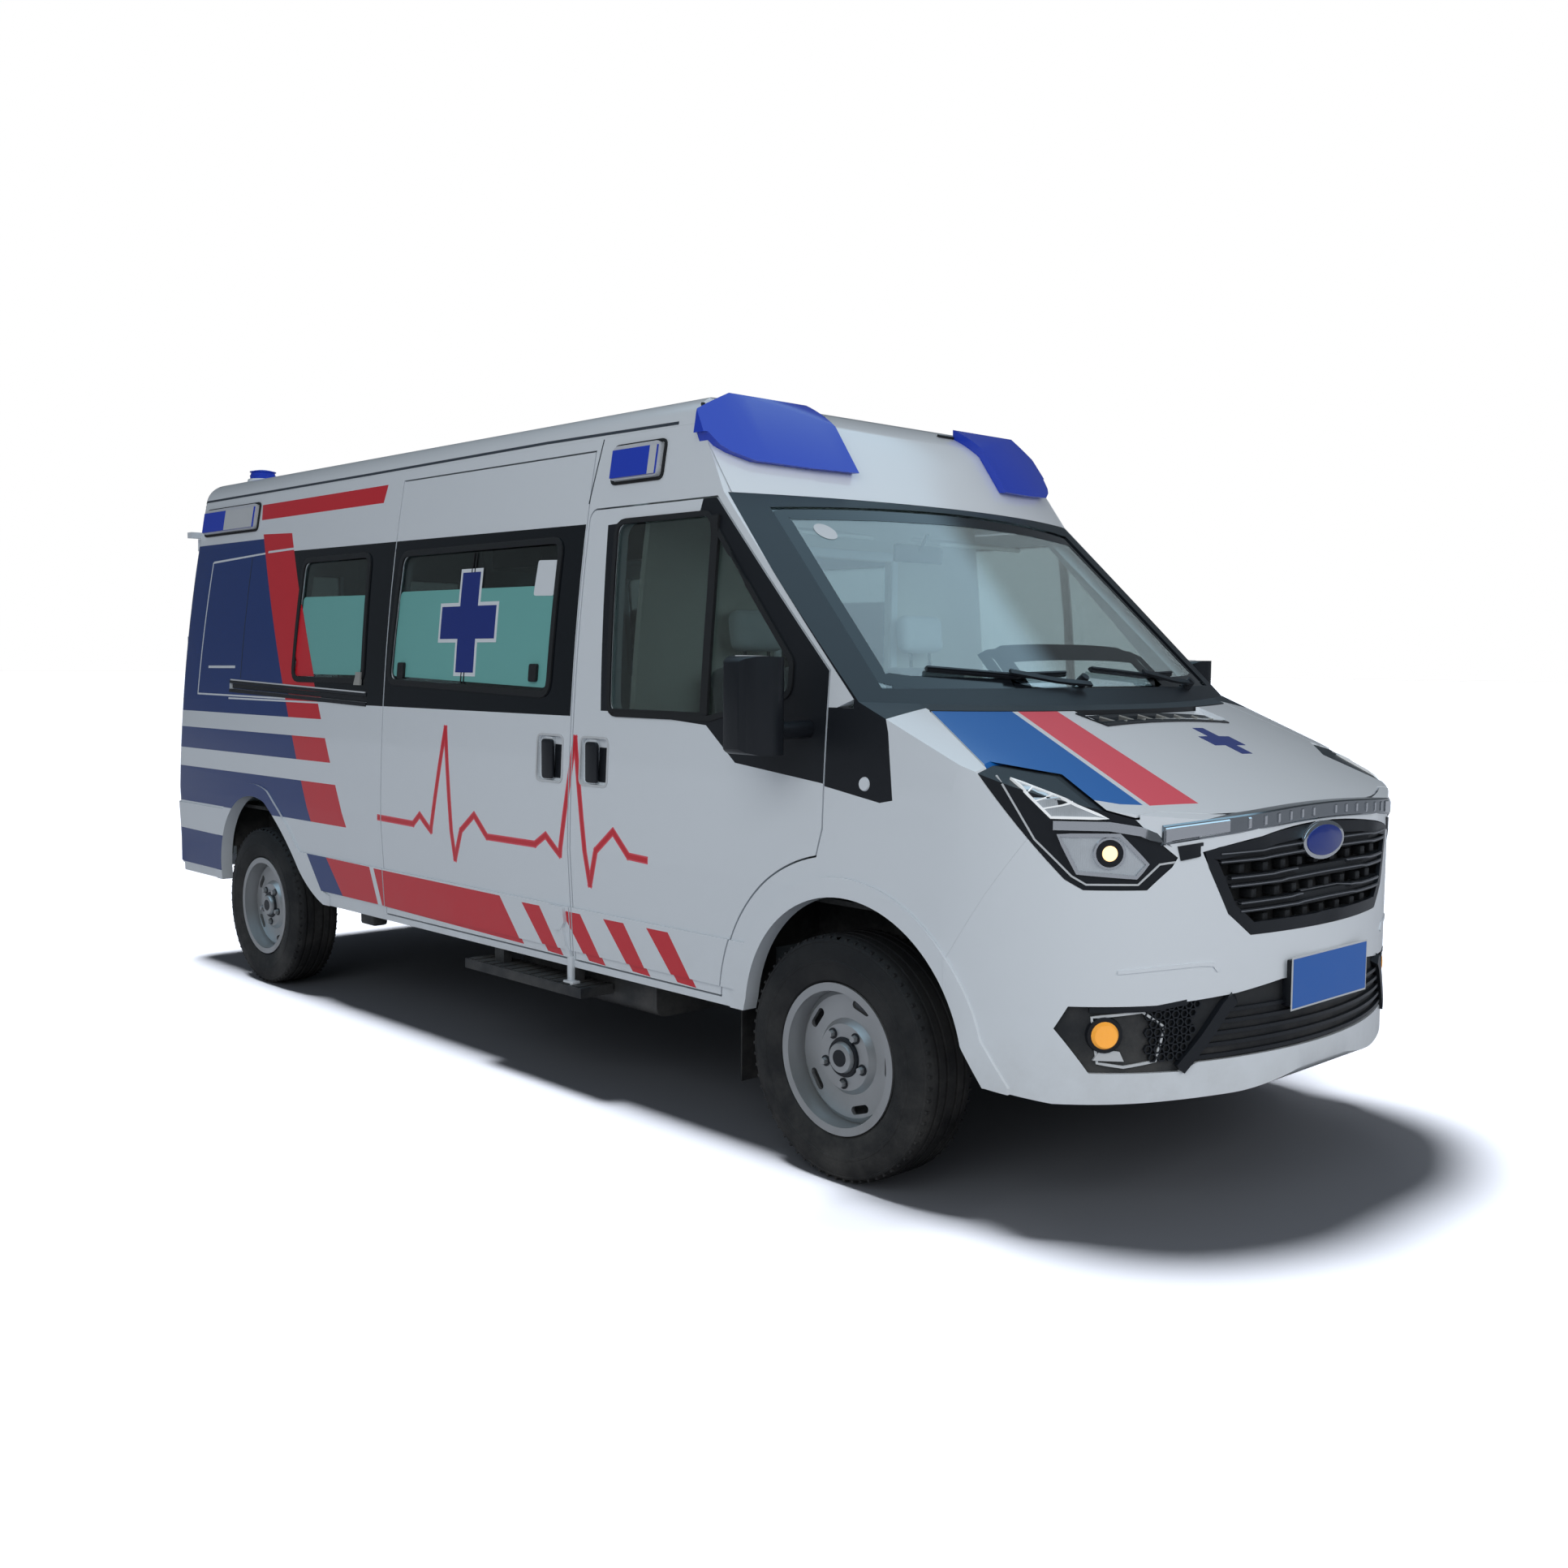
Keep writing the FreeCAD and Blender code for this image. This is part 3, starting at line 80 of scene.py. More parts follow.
class Graph:
    """Adds and joins the nodes of one node tree."""

    def __init__(self, tree: Tree) -> None:
        """Starts on a node tree."""
        self.tree = tree

    @classmethod
    def fresh(cls, owner: bpy.types.ID) -> "Graph":
        """Starts on the emptied node tree of a material or world."""
        owner.use_nodes = True
        owner.node_tree.nodes.clear()
        return cls(owner.node_tree)

    def node(self, kind: str, **settings: object) -> bpy.types.Node:
        """Adds a node.

        Args:
            kind: Blender's name of the node type.
            settings: Properties of the node, such as its operation.

        Returns:
            The new node.
        """
        made = self.tree.nodes.new(kind)
        for name, value in settings.items():
            setattr(made, name, value)
        return made

    def feed(self, socket: Socket, value: object) -> None:
        """Joins an output to a socket, or sets the socket's own value."""
        if isinstance(value, Socket):
            self.tree.links.new(value, socket)
        else:
            socket.default_value = value

    def math(self, operation: str, *values: object, clamp: bool = False) -> Socket:
        """A Math node's result.

        Args:
            operation: The node's operation.
            values: Its inputs, each an output or a number.
            clamp: Whether the result stays between 0 and 1.

        Returns:
            The output socket.
        """
        made = self.node("ShaderNodeMath", operation=operation, use_clamp=clamp)
        for socket, value in zip(made.inputs, values):
            self.feed(socket, value)
        return made.outputs[0]

    def noise(self, vector: Socket, scale: object, detail: float = 2.0, roughness: float = 0.5) -> Socket:
        """A noise texture's value."""
        made = self.node("ShaderNodeTexNoise")
        self.feed(made.inputs["Vector"], vector)
        self.feed(made.inputs["Scale"], scale)
        made.inputs["Detail"].default_value = detail
        made.inputs["Roughness"].default_value = roughness
        return made.outputs["Fac"]

    def ramp(self, value: object, low: object, high: object, out_low: object = 0.0,
             out_high: object = 1.0) -> Socket:
        """A smooth step of a value from one range to another."""
        made = self.node("ShaderNodeMapRange", interpolation_type="SMOOTHSTEP")
        for name, item in (("Value", value), ("From Min", low), ("From Max", high),
                           ("To Min", out_low), ("To Max", out_high)):
            self.feed(made.inputs[name], item)
        return made.outputs["Result"]

    def mix(self, share: object, first: object, second: object) -> Socket:
        """Two colours mixed."""
        made = self.node("ShaderNodeMix", data_type="RGBA")
        self.feed(made.inputs[0], share)
        self.feed(made.inputs[6], first)
        self.feed(made.inputs[7], second)
        return made.outputs[2]

    def split(self, vector: Socket) -> bpy.types.bpy_prop_collection:
        """A vector's coordinates, by the names X, Y and Z."""
        made = self.node("ShaderNodeSeparateXYZ")
        self.feed(made.inputs[0], vector)
        return made.outputs

    def blend(self, share: object, first: Socket, second: Socket) -> Socket:
        """Two shaders blended."""
        made = self.node("ShaderNodeMixShader")
        for socket, value in zip(made.inputs, (share, first, second)):
            self.feed(socket, value)
        return made.outputs[0]

    def background(self, color: object, strength: float) -> Socket:
        """A plain background shader."""
        made = self.node("ShaderNodeBackground")
        self.feed(made.inputs["Color"], color)
        made.inputs["Strength"].default_value = strength
        return made.outputs[0]

    def seen(self, path: bpy.types.Node) -> Socket:
        """1 where the camera looks straight or through glass, from a Light Path node."""
        return self.math("MAXIMUM", path.outputs["Is Camera Ray"], path.outputs["Is Transmission Ray"])


def add_socket(group: Tree, name: str, into: bool, kind: str, value: Optional[float] = None) -> None:
    """Adds a named input or output to a node group."""
    made = group.interface.new_socket(name=name, in_out="INPUT" if into else "OUTPUT",
                                      socket_type="NodeSocket" + kind)
    if value is not None:
        made.default_value = value


def new_group(name: str, inputs: Sequence[tuple], outputs: Sequence[tuple[str, str]]) -> Graph:
    """A shader node group with its named sockets.

    Args:
        name: The group's name.
        inputs: Name, kind and default value of each input.
        outputs: Name and kind of each output.

    Returns:
        The graph of the group, with its group input and output nodes.
    """
    group = bpy.data.node_groups.new(name, "ShaderNodeTree")
    for item in inputs:
        add_socket(group, item[0], True, item[1], item[2] if len(item) > 2 else None)
    for item in outputs:
        add_socket(group, item[0], False, item[1])
    graph = Graph(group)
    graph.source = graph.node("NodeGroupInput")
    graph.target = graph.node("NodeGroupOutput")
    return graph


class Effects:
    """The shader effects that several finishes share, each built once."""

    made: dict[str, Tree] = {}

    @classmethod
    def get(cls, name: str) -> Tree:
        """An effect's node group, built when first asked for."""
        if name not in cls.made:
            cls.made[name] = getattr(cls, name)()
        return cls.made[name]

    @staticmethod
    def start(name: str) -> tuple[Graph, Socket]:
        """A texture effect's graph with its usual sockets, and the piece's own coordinates."""
        g = new_group(name, [("Size", "Float", 1.0)], [("Height", "Float"), ("Shade", "Float")])
        return g, g.node("ShaderNodeTexCoord").outputs["Object"]

    @staticmethod
    def per_size(g: Graph, scale: float) -> Socket:
        """A texture scale that falls as the effect's size grows."""
        return g.math("DIVIDE", scale, g.source.outputs["Size"])

    @staticmethod
    def end(g: Graph, height: Socket, shade: Socket) -> Tree:
        """Joins a texture effect's outputs and gives its finished tree."""
        g.feed(g.target.inputs["Height"], height)
        g.feed(g.target.inputs["Shade"], shade)
        return g.tree

    @staticmethod
    def road_dust() -> Tree:
        """Pale dust that thickens towards the ground."""
        g = new_group("road_dust", [("Color", "Color"), ("Dust", "Color"), ("Top", "Float", 0.8),
                                    ("Amount", "Float", 0.3)],
                      [("Color", "Color"), ("Mask", "Float")])
        place = g.node("ShaderNodeTexCoord").outputs["Object"]
        low = g.ramp(g.split(place)["Z"], 0.05, g.source.outputs["Top"], 1.0, 0.0)
        blotch = g.noise(place, 5.0, 5.0, 0.65)
        fine = g.noise(place, 90.0, 2.0)
        spots = g.math("MULTIPLY", g.ramp(blotch, 0.3, 0.75), g.math("MULTIPLY_ADD", fine, 0.6, 0.7))
        mask = g.math("MULTIPLY", g.math("MULTIPLY", low, spots), g.source.outputs["Amount"], clamp=True)
        g.feed(g.target.inputs["Color"],
               g.mix(mask, g.source.outputs["Color"], g.source.outputs["Dust"]))
        g.feed(g.target.inputs["Mask"], mask)
        return g.tree

    @classmethod
    def paint_flow(cls) -> Tree:
        """The slight waves and fine peel of sprayed lacquer."""
        g, place = cls.start("paint_flow")
        peel = g.noise(place, cls.per_size(g, 260.0), 1.0)
        wave = g.noise(place, cls.per_size(g, 7.0), 1.0)
        return cls.end(g, g.math("MULTIPLY_ADD", wave, 3.0, peel), g.noise(place, 1.3, 3.0))

    @classmethod
    def moulded_grain(cls) -> Tree:
        """Leather-like grain of moulded plastic."""
        g, place = cls.start("moulded_grain")
        cells = g.node("ShaderNodeTexVoronoi", feature="DISTANCE_TO_EDGE")
        g.feed(cells.inputs["Vector"], place)
        g.feed(cells.inputs["Scale"], cls.per_size(g, 420.0))
        return cls.end(g, g.ramp(cells.outputs["Distance"], 0.0, 0.25), g.noise(place, 6.0, 4.0))

    @classmethod
    def woven_cloth(cls) -> Tree:
        """Over-and-under threads of seat cloth."""
        g, place = cls.start("woven_cloth")
        split = g.split(place)
        step = cls.per_size(g, 1500.0)
        wave = [g.math("SINE", g.math("MULTIPLY", split[axis], step)) for axis in "YZX"]
        threads = g.math("MULTIPLY", wave[0], g.math("ADD", wave[1], wave[2]))
        return cls.end(g, g.math("MULTIPLY_ADD", threads, 0.25, 0.5), g.noise(place, 14.0, 4.0))

    @classmethod
    def cast_skin(cls) -> Tree:
        """Uneven skin of cast, rusty or painted chassis metal."""
        g, place = cls.start("cast_skin")
        return cls.end(g, g.noise(place, cls.per_size(g, 130.0), 4.0, 0.7),
                       g.ramp(g.noise(place, 9.0, 5.0, 0.7), 0.35, 0.7))

    @classmethod
    def brushed_lines(cls) -> Tree:
        """Fine drawn lines of bare or plated metal."""
        g, place = cls.start("brushed_lines")
        stretch = g.node("ShaderNodeMapping")
        g.feed(stretch.inputs["Vector"], place)
        stretch.inputs["Scale"].default_value = (4.0, 60.0, 400.0)
        return cls.end(g, g.noise(stretch.outputs[0], cls.per_size(g, 1.0)), g.noise(place, 20.0, 3.0))

    @classmethod
    def lens_ribs(cls) -> Tree:
        """Upright optic ribs inside a lamp lens."""
        g, place = cls.start("lens_ribs")
        split = g.split(place)
        run = g.math("ADD", split["X"], split["Y"])
        ribs = g.math("SINE", g.math("MULTIPLY", run, cls.per_size(g, 900.0)))
        return cls.end(g, ribs, g.noise(place, 25.0, 2.0))


class Texture(Enum):
    """Which surface effect a finish carries."""

    PAINT = "paint_flow"
    GRAIN = "moulded_grain"
    CLOTH = "woven_cloth"
    CAST = "cast_skin"
    BRUSHED = "brushed_lines"
    RIBS = "lens_ribs"


DUST: Color = (0.33, 0.31, 0.28)
DUST_ROUGHNESS = 0.7
COAT_ROUGHNESS = 0.04
BUMP_DISTANCE = 0.0004


@dataclass(frozen=True)
class Finish:
    """One finish of the vehicle, with everything its material needs."""

    name: str
    color: Color
    roughness: float
    texture: Texture = Texture.PAINT
    size: float = 1.0
    depth: float = 0.05
    variation: float = 0.06
    metallic: float = 0.0
    coat: float = 0.0
    sheen: float = 0.0
    dust: float = 0.0
    dust_top: float = 0.9
    clear: float = 0.0
    ior: float = 1.45
    glow: float = 0.0
    glow_color: Color = (1.0, 1.0, 1.0)

    def material(self) -> bpy.types.Material:
        """The finish's material, made when first asked for."""
        found = bpy.data.materials.get(self.name)
        return found or self._build()

    def _build(self) -> bpy.types.Material:
        """Makes the material's nodes."""
        made = bpy.data.materials.new(self.name)
        g = Graph.fresh(made)
        shader = g.node("ShaderNodeBsdfPrincipled")
        effect = g.node("ShaderNodeGroup", node_tree=Effects.get(self.texture.value))
        effect.inputs["Size"].default_value = self.size
        base = (*self.color, 1.0)
        dark = (*(c * (1.0 - self.variation) for c in self.color), 1.0)
        color = g.mix(effect.outputs["Shade"], dark, base)
        rough = g.ramp(effect.outputs["Shade"], 0.0, 1.0, self.roughness * (1.0 + self.variation),
                       self.roughness)
        if self.dust:
            dust = g.node("ShaderNodeGroup", node_tree=Effects.get("road_dust"))
            g.feed(dust.inputs["Color"], color)
            for name, value in (("Dust", (*DUST, 1.0)), ("Top", self.dust_top), ("Amount", self.dust)):
                dust.inputs[name].default_value = value
            color = dust.outputs["Color"]
            rough = g.math("MULTIPLY_ADD", dust.outputs["Mask"], DUST_ROUGHNESS - self.roughness, rough,
                           clamp=True)
        g.feed(shader.inputs["Base Color"], color)
        g.feed(shader.inputs["Roughness"], rough)
        for name, value in (("Metallic", self.metallic), ("Coat Weight", self.coat),
                            ("Coat Roughness", COAT_ROUGHNESS), ("Sheen Weight", self.sheen),
                            ("Transmission Weight", self.clear), ("IOR", self.ior)):
            shader.inputs[name].default_value = value
        if self.glow:
            shader.inputs["Emission Color"].default_value = (*self.glow_color, 1.0)
            shader.inputs["Emission Strength"].default_value = self.glow
        bump = g.node("ShaderNodeBump")
        bump.inputs["Strength"].default_value = min(1.0, self.depth * 4.0)
        bump.inputs["Distance"].default_value = BUMP_DISTANCE
        g.feed(bump.inputs["Height"], effect.outputs["Height"])
        g.feed(shader.inputs["Normal"], bump.outputs[0])
        out = g.node("ShaderNodeOutputMaterial")
        surface = shader.outputs[0]
        if self.clear > 0.5:
            path = g.node("ShaderNodeLightPath")
            through = g.node("ShaderNodeBsdfTransparent")
            through.inputs["Color"].default_value = (*(0.2 + 0.6 * c for c in self.color), 1.0)
            surface = g.blend(path.outputs["Is Shadow Ray"], surface, through.outputs[0])
        g.feed(out.inputs["Surface"], surface)
        return made


WHITE = Finish("white_lacquer", (0.78, 0.82, 0.86), 0.28, depth=0.02, variation=0.02, coat=0.7,
               dust=0.35, dust_top=0.75)
BLUE = Finish("blue_film", (0.008, 0.04, 0.2), 0.3, depth=0.02, coat=0.5, dust=0.12, dust_top=0.8)
RED = Finish("red_film", (0.7, 0.016, 0.03), 0.32, depth=0.02, coat=0.5, dust=0.12, dust_top=0.8)
ROSE = Finish("rose_film", (0.84, 0.085, 0.12), 0.32, depth=0.02, coat=0.5)
AZURE = Finish("azure_film", (0.003, 0.13, 0.47), 0.3, depth=0.02, coat=0.5)
DARK_GLOSS = Finish("black_glaze", (0.006, 0.008, 0.011), 0.15, depth=0.01, coat=0.3)
BLACK = Finish("black_mould", (0.022, 0.024, 0.027), 0.48, Texture.GRAIN, 1.0, 0.12, dust=0.25,
               dust_top=1.0)
SATIN_BLACK = Finish("black_satin", (0.012, 0.014, 0.018), 0.35, Texture.GRAIN, 0.6, 0.05)
RUBBER = Finish("seal_rubber", (0.018, 0.018, 0.019), 0.7, Texture.GRAIN, 0.8, 0.1, dust=0.3)
TYRE = Finish("tyre_rubber_worn", (0.014, 0.014, 0.015), 0.62, Texture.GRAIN, 1.5, 0.15, 0.2, dust=0.16,
              dust_top=0.9)
GREY = Finish("grey_trim", (0.36, 0.36, 0.34), 0.55, Texture.GRAIN, 1.2, 0.12)
CREAM = Finish("pale_trim", (0.66, 0.64, 0.58), 0.5, Texture.GRAIN, 1.2, 0.08)
CABINET = Finish("cabinet_laminate", (0.74, 0.75, 0.75), 0.35, depth=0.03, coat=0.2)
FLOOR = Finish("floor_vinyl", (0.2, 0.23, 0.25), 0.55, Texture.CAST, 0.6, 0.1, 0.2)
CLOTH = Finish("seat_cloth", (0.16, 0.16, 0.17), 0.9, Texture.CLOTH, 1.0, 0.4, 0.25, sheen=0.5)
COVER = Finish("pale_seat_cover", (0.72, 0.74, 0.75), 0.85, Texture.CLOTH, 1.4, 0.3, 0.12, sheen=0.4)
CHROME = Finish("bright_plating", (0.8, 0.81, 0.83), 0.1, Texture.BRUSHED, 1.0, 0.01, metallic=1.0)
STEEL = Finish("wheel_silver", (0.56, 0.57, 0.58), 0.36, Texture.BRUSHED, 0.6, 0.03, 0.12, metallic=0.75,
               dust=0.4)
CAST = Finish("cast_iron_skin", (0.1, 0.1, 0.1), 0.65, Texture.CAST, 1.0, 0.3, 0.5, metallic=0.3,
              dust=0.6, dust_top=0.9)
CHASSIS = Finish("chassis_paint", (0.035, 0.036, 0.038), 0.6, Texture.CAST, 1.0, 0.2, 0.4, dust=0.6,
                 dust_top=0.9)
PIPE = Finish("exhaust_skin", (0.27, 0.25, 0.23), 0.5, Texture.CAST, 0.8, 0.2, 0.4, metallic=0.8, dust=0.4)
SCREEN = Finish("screen_glass", (0.62, 0.76, 0.8), 0.0, depth=0.003, variation=0.0, clear=1.0, ior=2.1)
TINTED = Finish("door_glass", (0.25, 0.3, 0.3), 0.0, depth=0.003, variation=0.0, clear=1.0)
SMOKED = Finish("smoked_glass", (0.13, 0.165, 0.165), 0.0, depth=0.003, variation=0.0, clear=1.0)
TEAL = Finish("teal_film", (0.17, 0.47, 0.44), 0.45, depth=0.02, variation=0.08, coat=0.4)
BLUE_LENS = Finish("blue_lens", (0.004, 0.035, 0.6), 0.12, Texture.RIBS, 1.0, 0.12, 0.3, coat=0.9,
                   glow=0.1, glow_color=(0.01, 0.07, 0.9))
RED_LENS = Finish("red_lens_skin", (0.5, 0.012, 0.014), 0.12, Texture.RIBS, 0.8, 0.15, 0.2, coat=0.9,
                  glow=0.05, glow_color=(0.8, 0.02, 0.02))
AMBER = Finish("amber_lens", (0.9, 0.36, 0.03), 0.14, Texture.RIBS, 0.5, 0.15, 0.2, coat=0.8, glow=0.45,
               glow_color=(1.0, 0.45, 0.08))
WARM = Finish("warm_bulb", (1.0, 0.74, 0.42), 0.2, glow=1.6, glow_color=(1.0, 0.62, 0.28))
MIRROR_GLASS = Finish("mirror_silver", (0.85, 0.87, 0.88), 0.02, depth=0.0, variation=0.0, metallic=1.0)
PLATE_BLUE = Finish("blank_plate_blue", (0.004, 0.12, 0.5), 0.32, depth=0.03, coat=0.3, dust=0.1)
NAVY = Finish("navy_film", (0.01, 0.03, 0.23), 0.28, depth=0.02, coat=0.5)
PALE = Finish("pale_plastic", (0.62, 0.64, 0.66), 0.35, Texture.GRAIN, 0.6, 0.04, coat=0.3)
SEAM = Finish("panel_seam", (0.045, 0.055, 0.07), 0.6, depth=0.02)
REFLECTOR = Finish("lamp_reflector", (0.66, 0.7, 0.74), 0.22, Texture.RIBS, 1.0, 0.1, 0.15, metallic=0.4,
                   coat=1.0)
LIGHT_LINE = Finish("light_line", (0.85, 0.88, 0.9), 0.25, depth=0.02, coat=0.8, glow=0.25)
# Painted highlight: a lighter grey line laid along each grille slat stands in for the light on its edge.
SLAT_HIGHLIGHT = Finish("slat_painted_highlight", (0.16, 0.17, 0.19), 0.35, Texture.GRAIN, 0.5, 0.03)
DARK_CHROME = Finish("dark_plating", (0.34, 0.36, 0.38), 0.16, Texture.BRUSHED, 1.0, 0.01, metallic=1.0)
AMBER_DULL = Finish("amber_lens_unlit", (0.62, 0.2, 0.015), 0.14, Texture.RIBS, 0.5, 0.15, 0.2, coat=0.8)
LINER = Finish("wheel_house_liner", (0.028, 0.029, 0.03), 0.75, Texture.CAST, 1.4, 0.3, 0.4, dust=0.5,
               dust_top=1.0)


# Shapes


def shown(name: str, data: bpy.types.ID) -> bpy.types.Object:
    """A new object in the scene."""
    made = bpy.data.objects.new(name, data)
    bpy.context.scene.collection.objects.link(made)
    return made


def turned(degrees: float, axis: str) -> Matrix:
    """A turn about one of the axes."""
    return Matrix.Rotation(math.radians(degrees), 3, axis)


def mesh_of(bm: Shape, name: str) -> bpy.types.Mesh:
    """Turns a bmesh into a mesh and frees it."""
    mesh = bpy.data.meshes.new(name)
    bm.to_mesh(mesh)
    bm.free()
    return mesh


def crease(bm: Shape, degrees: float) -> None:
    """Shades all faces smooth, with sharp edges where they turn by more than an angle."""
    limit = math.radians(degrees)
    for face in bm.faces:
        face.smooth = True
    for edge in bm.edges:
        if len(edge.link_faces) == 2:
            edge.smooth = edge.calc_face_angle(0.0) < limit


@dataclass
class Piece:
    """A finished piece on its way into the scene."""

    name: str
    body: str
    finishes: Sequence[Finish]
    slot: Optional[str] = None
    angle: float = 32.0
    replaces: Sequence[str] = ()

    def place(self, bm: Shape) -> bpy.types.Object:
        """Makes the object, dresses it and lets it ride on its body.

        Args:
            bm: The piece's shape, which is used up.

        Returns:
            The new object.
        """
        crease(bm, self.angle)
        made = shown(self.name, mesh_of(bm, self.name))
        for finish in self.finishes:
            made.data.materials.append(finish.material())
        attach(made, self.body)
        if self.replaces:
            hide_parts(*self.replaces)
        log.info("%s: %d faces on %s", self.name, len(made.data.polygons), self.body)
        return made


def node_shape(node: str) -> Shape:
    """A CAD node's mesh as a closed bmesh, its loose triangles merged."""
    bm = bmesh.new()
    bm.from_mesh(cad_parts[node].data)
    bmesh.ops.remove_doubles(bm, verts=bm.verts, dist=1e-5)
    for face in bm.faces:
        face.material_index = 0
    return bm


def joined(parts: Iterable[Shape]) -> Shape:
    """Several shapes as one, each keeping its material numbers."""
    whole = bmesh.new()
    for part in parts:
        mesh = mesh_of(part, "part")
        whole.from_mesh(mesh)
        bpy.data.meshes.remove(mesh)
    return whole


def painted(bm: Shape, number: int) -> Shape:
    """The same shape with one material number on all its faces."""
    for face in bm.faces:
        face.material_index = number
    return bm


def mirrored(bm: Shape) -> Shape:
    """The shape's mirror image on the other side of the vehicle, turned right side out."""
    other = bm.copy()
    bmesh.ops.scale(other, vec=(1.0, -1.0, 1.0), verts=other.verts)
    bmesh.ops.reverse_faces(other, faces=other.faces)
    return other


def both_sides(bm: Shape) -> Shape:
    """A shape and its mirror image in one."""
    other = mirrored(bm)
    return joined([bm, other])


def block(low: Point3, high: Point3, bevel: float = 0.0, segments: int = 2) -> Shape:
    """A box between two corners with rounded edges."""
    bm = bmesh.new()
    bmesh.ops.create_cube(bm, size=1.0)
    size = Vector(high) - Vector(low)
    middle = (Vector(high) + Vector(low)) / 2
    bmesh.ops.scale(bm, vec=size, verts=bm.verts)
    bmesh.ops.translate(bm, vec=middle, verts=bm.verts)
    if bevel:
        soften(bm, bevel, segments)
    return bm


def soften(bm: Shape, width: float, segments: int = 2, degrees: float = 30.0) -> None:
    """Rounds the edges of a shape that turn by more than an angle."""
    limit = math.radians(degrees)
    edges = [e for e in bm.edges if len(e.link_faces) == 2 and e.calc_face_angle(0.0) > limit]
    bmesh.ops.bevel(bm, geom=edges, offset=width, segments=segments, profile=0.5, affect="EDGES",
                    material=-1, clamp_overlap=True)


def disc(centre: Point3, radius: float, depth: float, axis: Point3 = (0, 1, 0), steps: int = 32,
         top: Optional[float] = None, bevel: float = 0.0) -> Shape:
    """A round bar or cone from its centre along its axis.

    Args:
        centre: The middle of its foot.
        radius: Its radius at the foot.
        depth: Its length.
        axis: Where it points.
        steps: Its sides.
        top: Its radius at the far end, or None for the same.
        bevel: Rounding of its edges.

    Returns:
        The shape.
    """
    bm = bmesh.new()
    bmesh.ops.create_cone(bm, cap_ends=True, segments=steps, radius1=radius,
                          radius2=radius if top is None else top, depth=depth)
    bmesh.ops.translate(bm, vec=(0, 0, depth / 2), verts=bm.verts)
    turn = Vector(axis).to_track_quat("Z", "Y").to_matrix()
    bmesh.ops.rotate(bm, matrix=turn, verts=bm.verts)
    bmesh.ops.translate(bm, vec=centre, verts=bm.verts)
    if bevel:
        soften(bm, bevel, 2, 50.0)
    return bm


def slab(outline: Sequence[Point3], push: Point3, bevel: float = 0.0) -> Shape:
    """A flat outline pushed along a vector and closed."""
    bm = bmesh.new()
    bm.faces.new([bm.verts.new(p) for p in outline])
    thicken(bm, Vector(push))
    if bevel:
        soften(bm, bevel, 2)
    return bm


def spun(profile: Sequence[Point2], centre: Point3, steps: int = 64) -> Shape:
    """A closed (radius, y) section spun once round an axle along Y."""
    bm = bmesh.new()
    ring = [bm.verts.new((r, y, 0.0)) for r, y in profile]
    edges = [bm.edges.new((a, b)) for a, b in zip(ring, ring[1:] + ring[:1])]
    bmesh.ops.spin(bm, geom=ring + edges, cent=(0, 0, 0), axis=(0, 1, 0), angle=math.tau, steps=steps,
                   use_merge=True)
    bmesh.ops.remove_doubles(bm, verts=bm.verts, dist=1e-6)
    bmesh.ops.recalc_face_normals(bm, faces=bm.faces)
    bmesh.ops.translate(bm, vec=centre, verts=bm.verts)
    return bm


def tube(path: Sequence[Point3], radius: float, sides: int = 10) -> Shape:
    """A round rod that follows a path of points."""
    bm = bmesh.new()
    points = [Vector(p) for p in path]
    rings = []
    for i, point in enumerate(points):
        ahead = (points[min(i + 1, len(points) - 1)] - points[max(i - 1, 0)]).normalized()
        turn = ahead.to_track_quat("Z", "Y").to_matrix()
        ends = i in (0, len(points) - 1)
        verts = bmesh.ops.create_circle(bm, segments=sides, radius=radius, cap_ends=ends)["verts"]
        bmesh.ops.rotate(bm, matrix=turn, verts=verts)
        bmesh.ops.translate(bm, vec=point, verts=verts)
        rings.append(verts)
    for a, b in zip(rings, rings[1:]):
        edges = [e for e in bm.edges if (e.verts[0] in a and e.verts[1] in a)
                 or (e.verts[0] in b and e.verts[1] in b)]
        bmesh.ops.bridge_loops(bm, edges=edges)
    bmesh.ops.recalc_face_normals(bm, faces=bm.faces)
    return bm


def thicken(bm: Shape, push: Vector) -> None:
    """Makes an open sheet a closed piece, its second face a step away."""
    made = bmesh.ops.extrude_face_region(bm, geom=bm.faces[:])
    moved = [v for v in made["geom"] if isinstance(v, bmesh.types.BMVert)]
    bmesh.ops.translate(bm, vec=push, verts=moved)
    bmesh.ops.recalc_face_normals(bm, faces=bm.faces)


def loft(rings: Sequence[Sequence[Point3]], closed: bool = False) -> Shape:
    """A shape through rings of points.

    Args:
        rings: Rings with the same number of points each.
        closed: Whether the last ring joins the first; otherwise both ends are filled.

    Returns:
        The shape.
    """
    bm = bmesh.new()
    edges = []
    for ring in rings:
        verts = [bm.verts.new(p) for p in ring]
        edges.append([bm.edges.new((a, b)) for a, b in zip(verts, verts[1:] + verts[:1])])
    pairs = list(zip(edges, edges[1:]))
    if closed:
        pairs.append((edges[-1], edges[0]))
    for first, second in pairs:
        bmesh.ops.bridge_loops(bm, edges=first + second)
    if not closed:
        bmesh.ops.holes_fill(bm, edges=edges[0] + edges[-1])
    bmesh.ops.recalc_face_normals(bm, faces=bm.faces)
    return bm


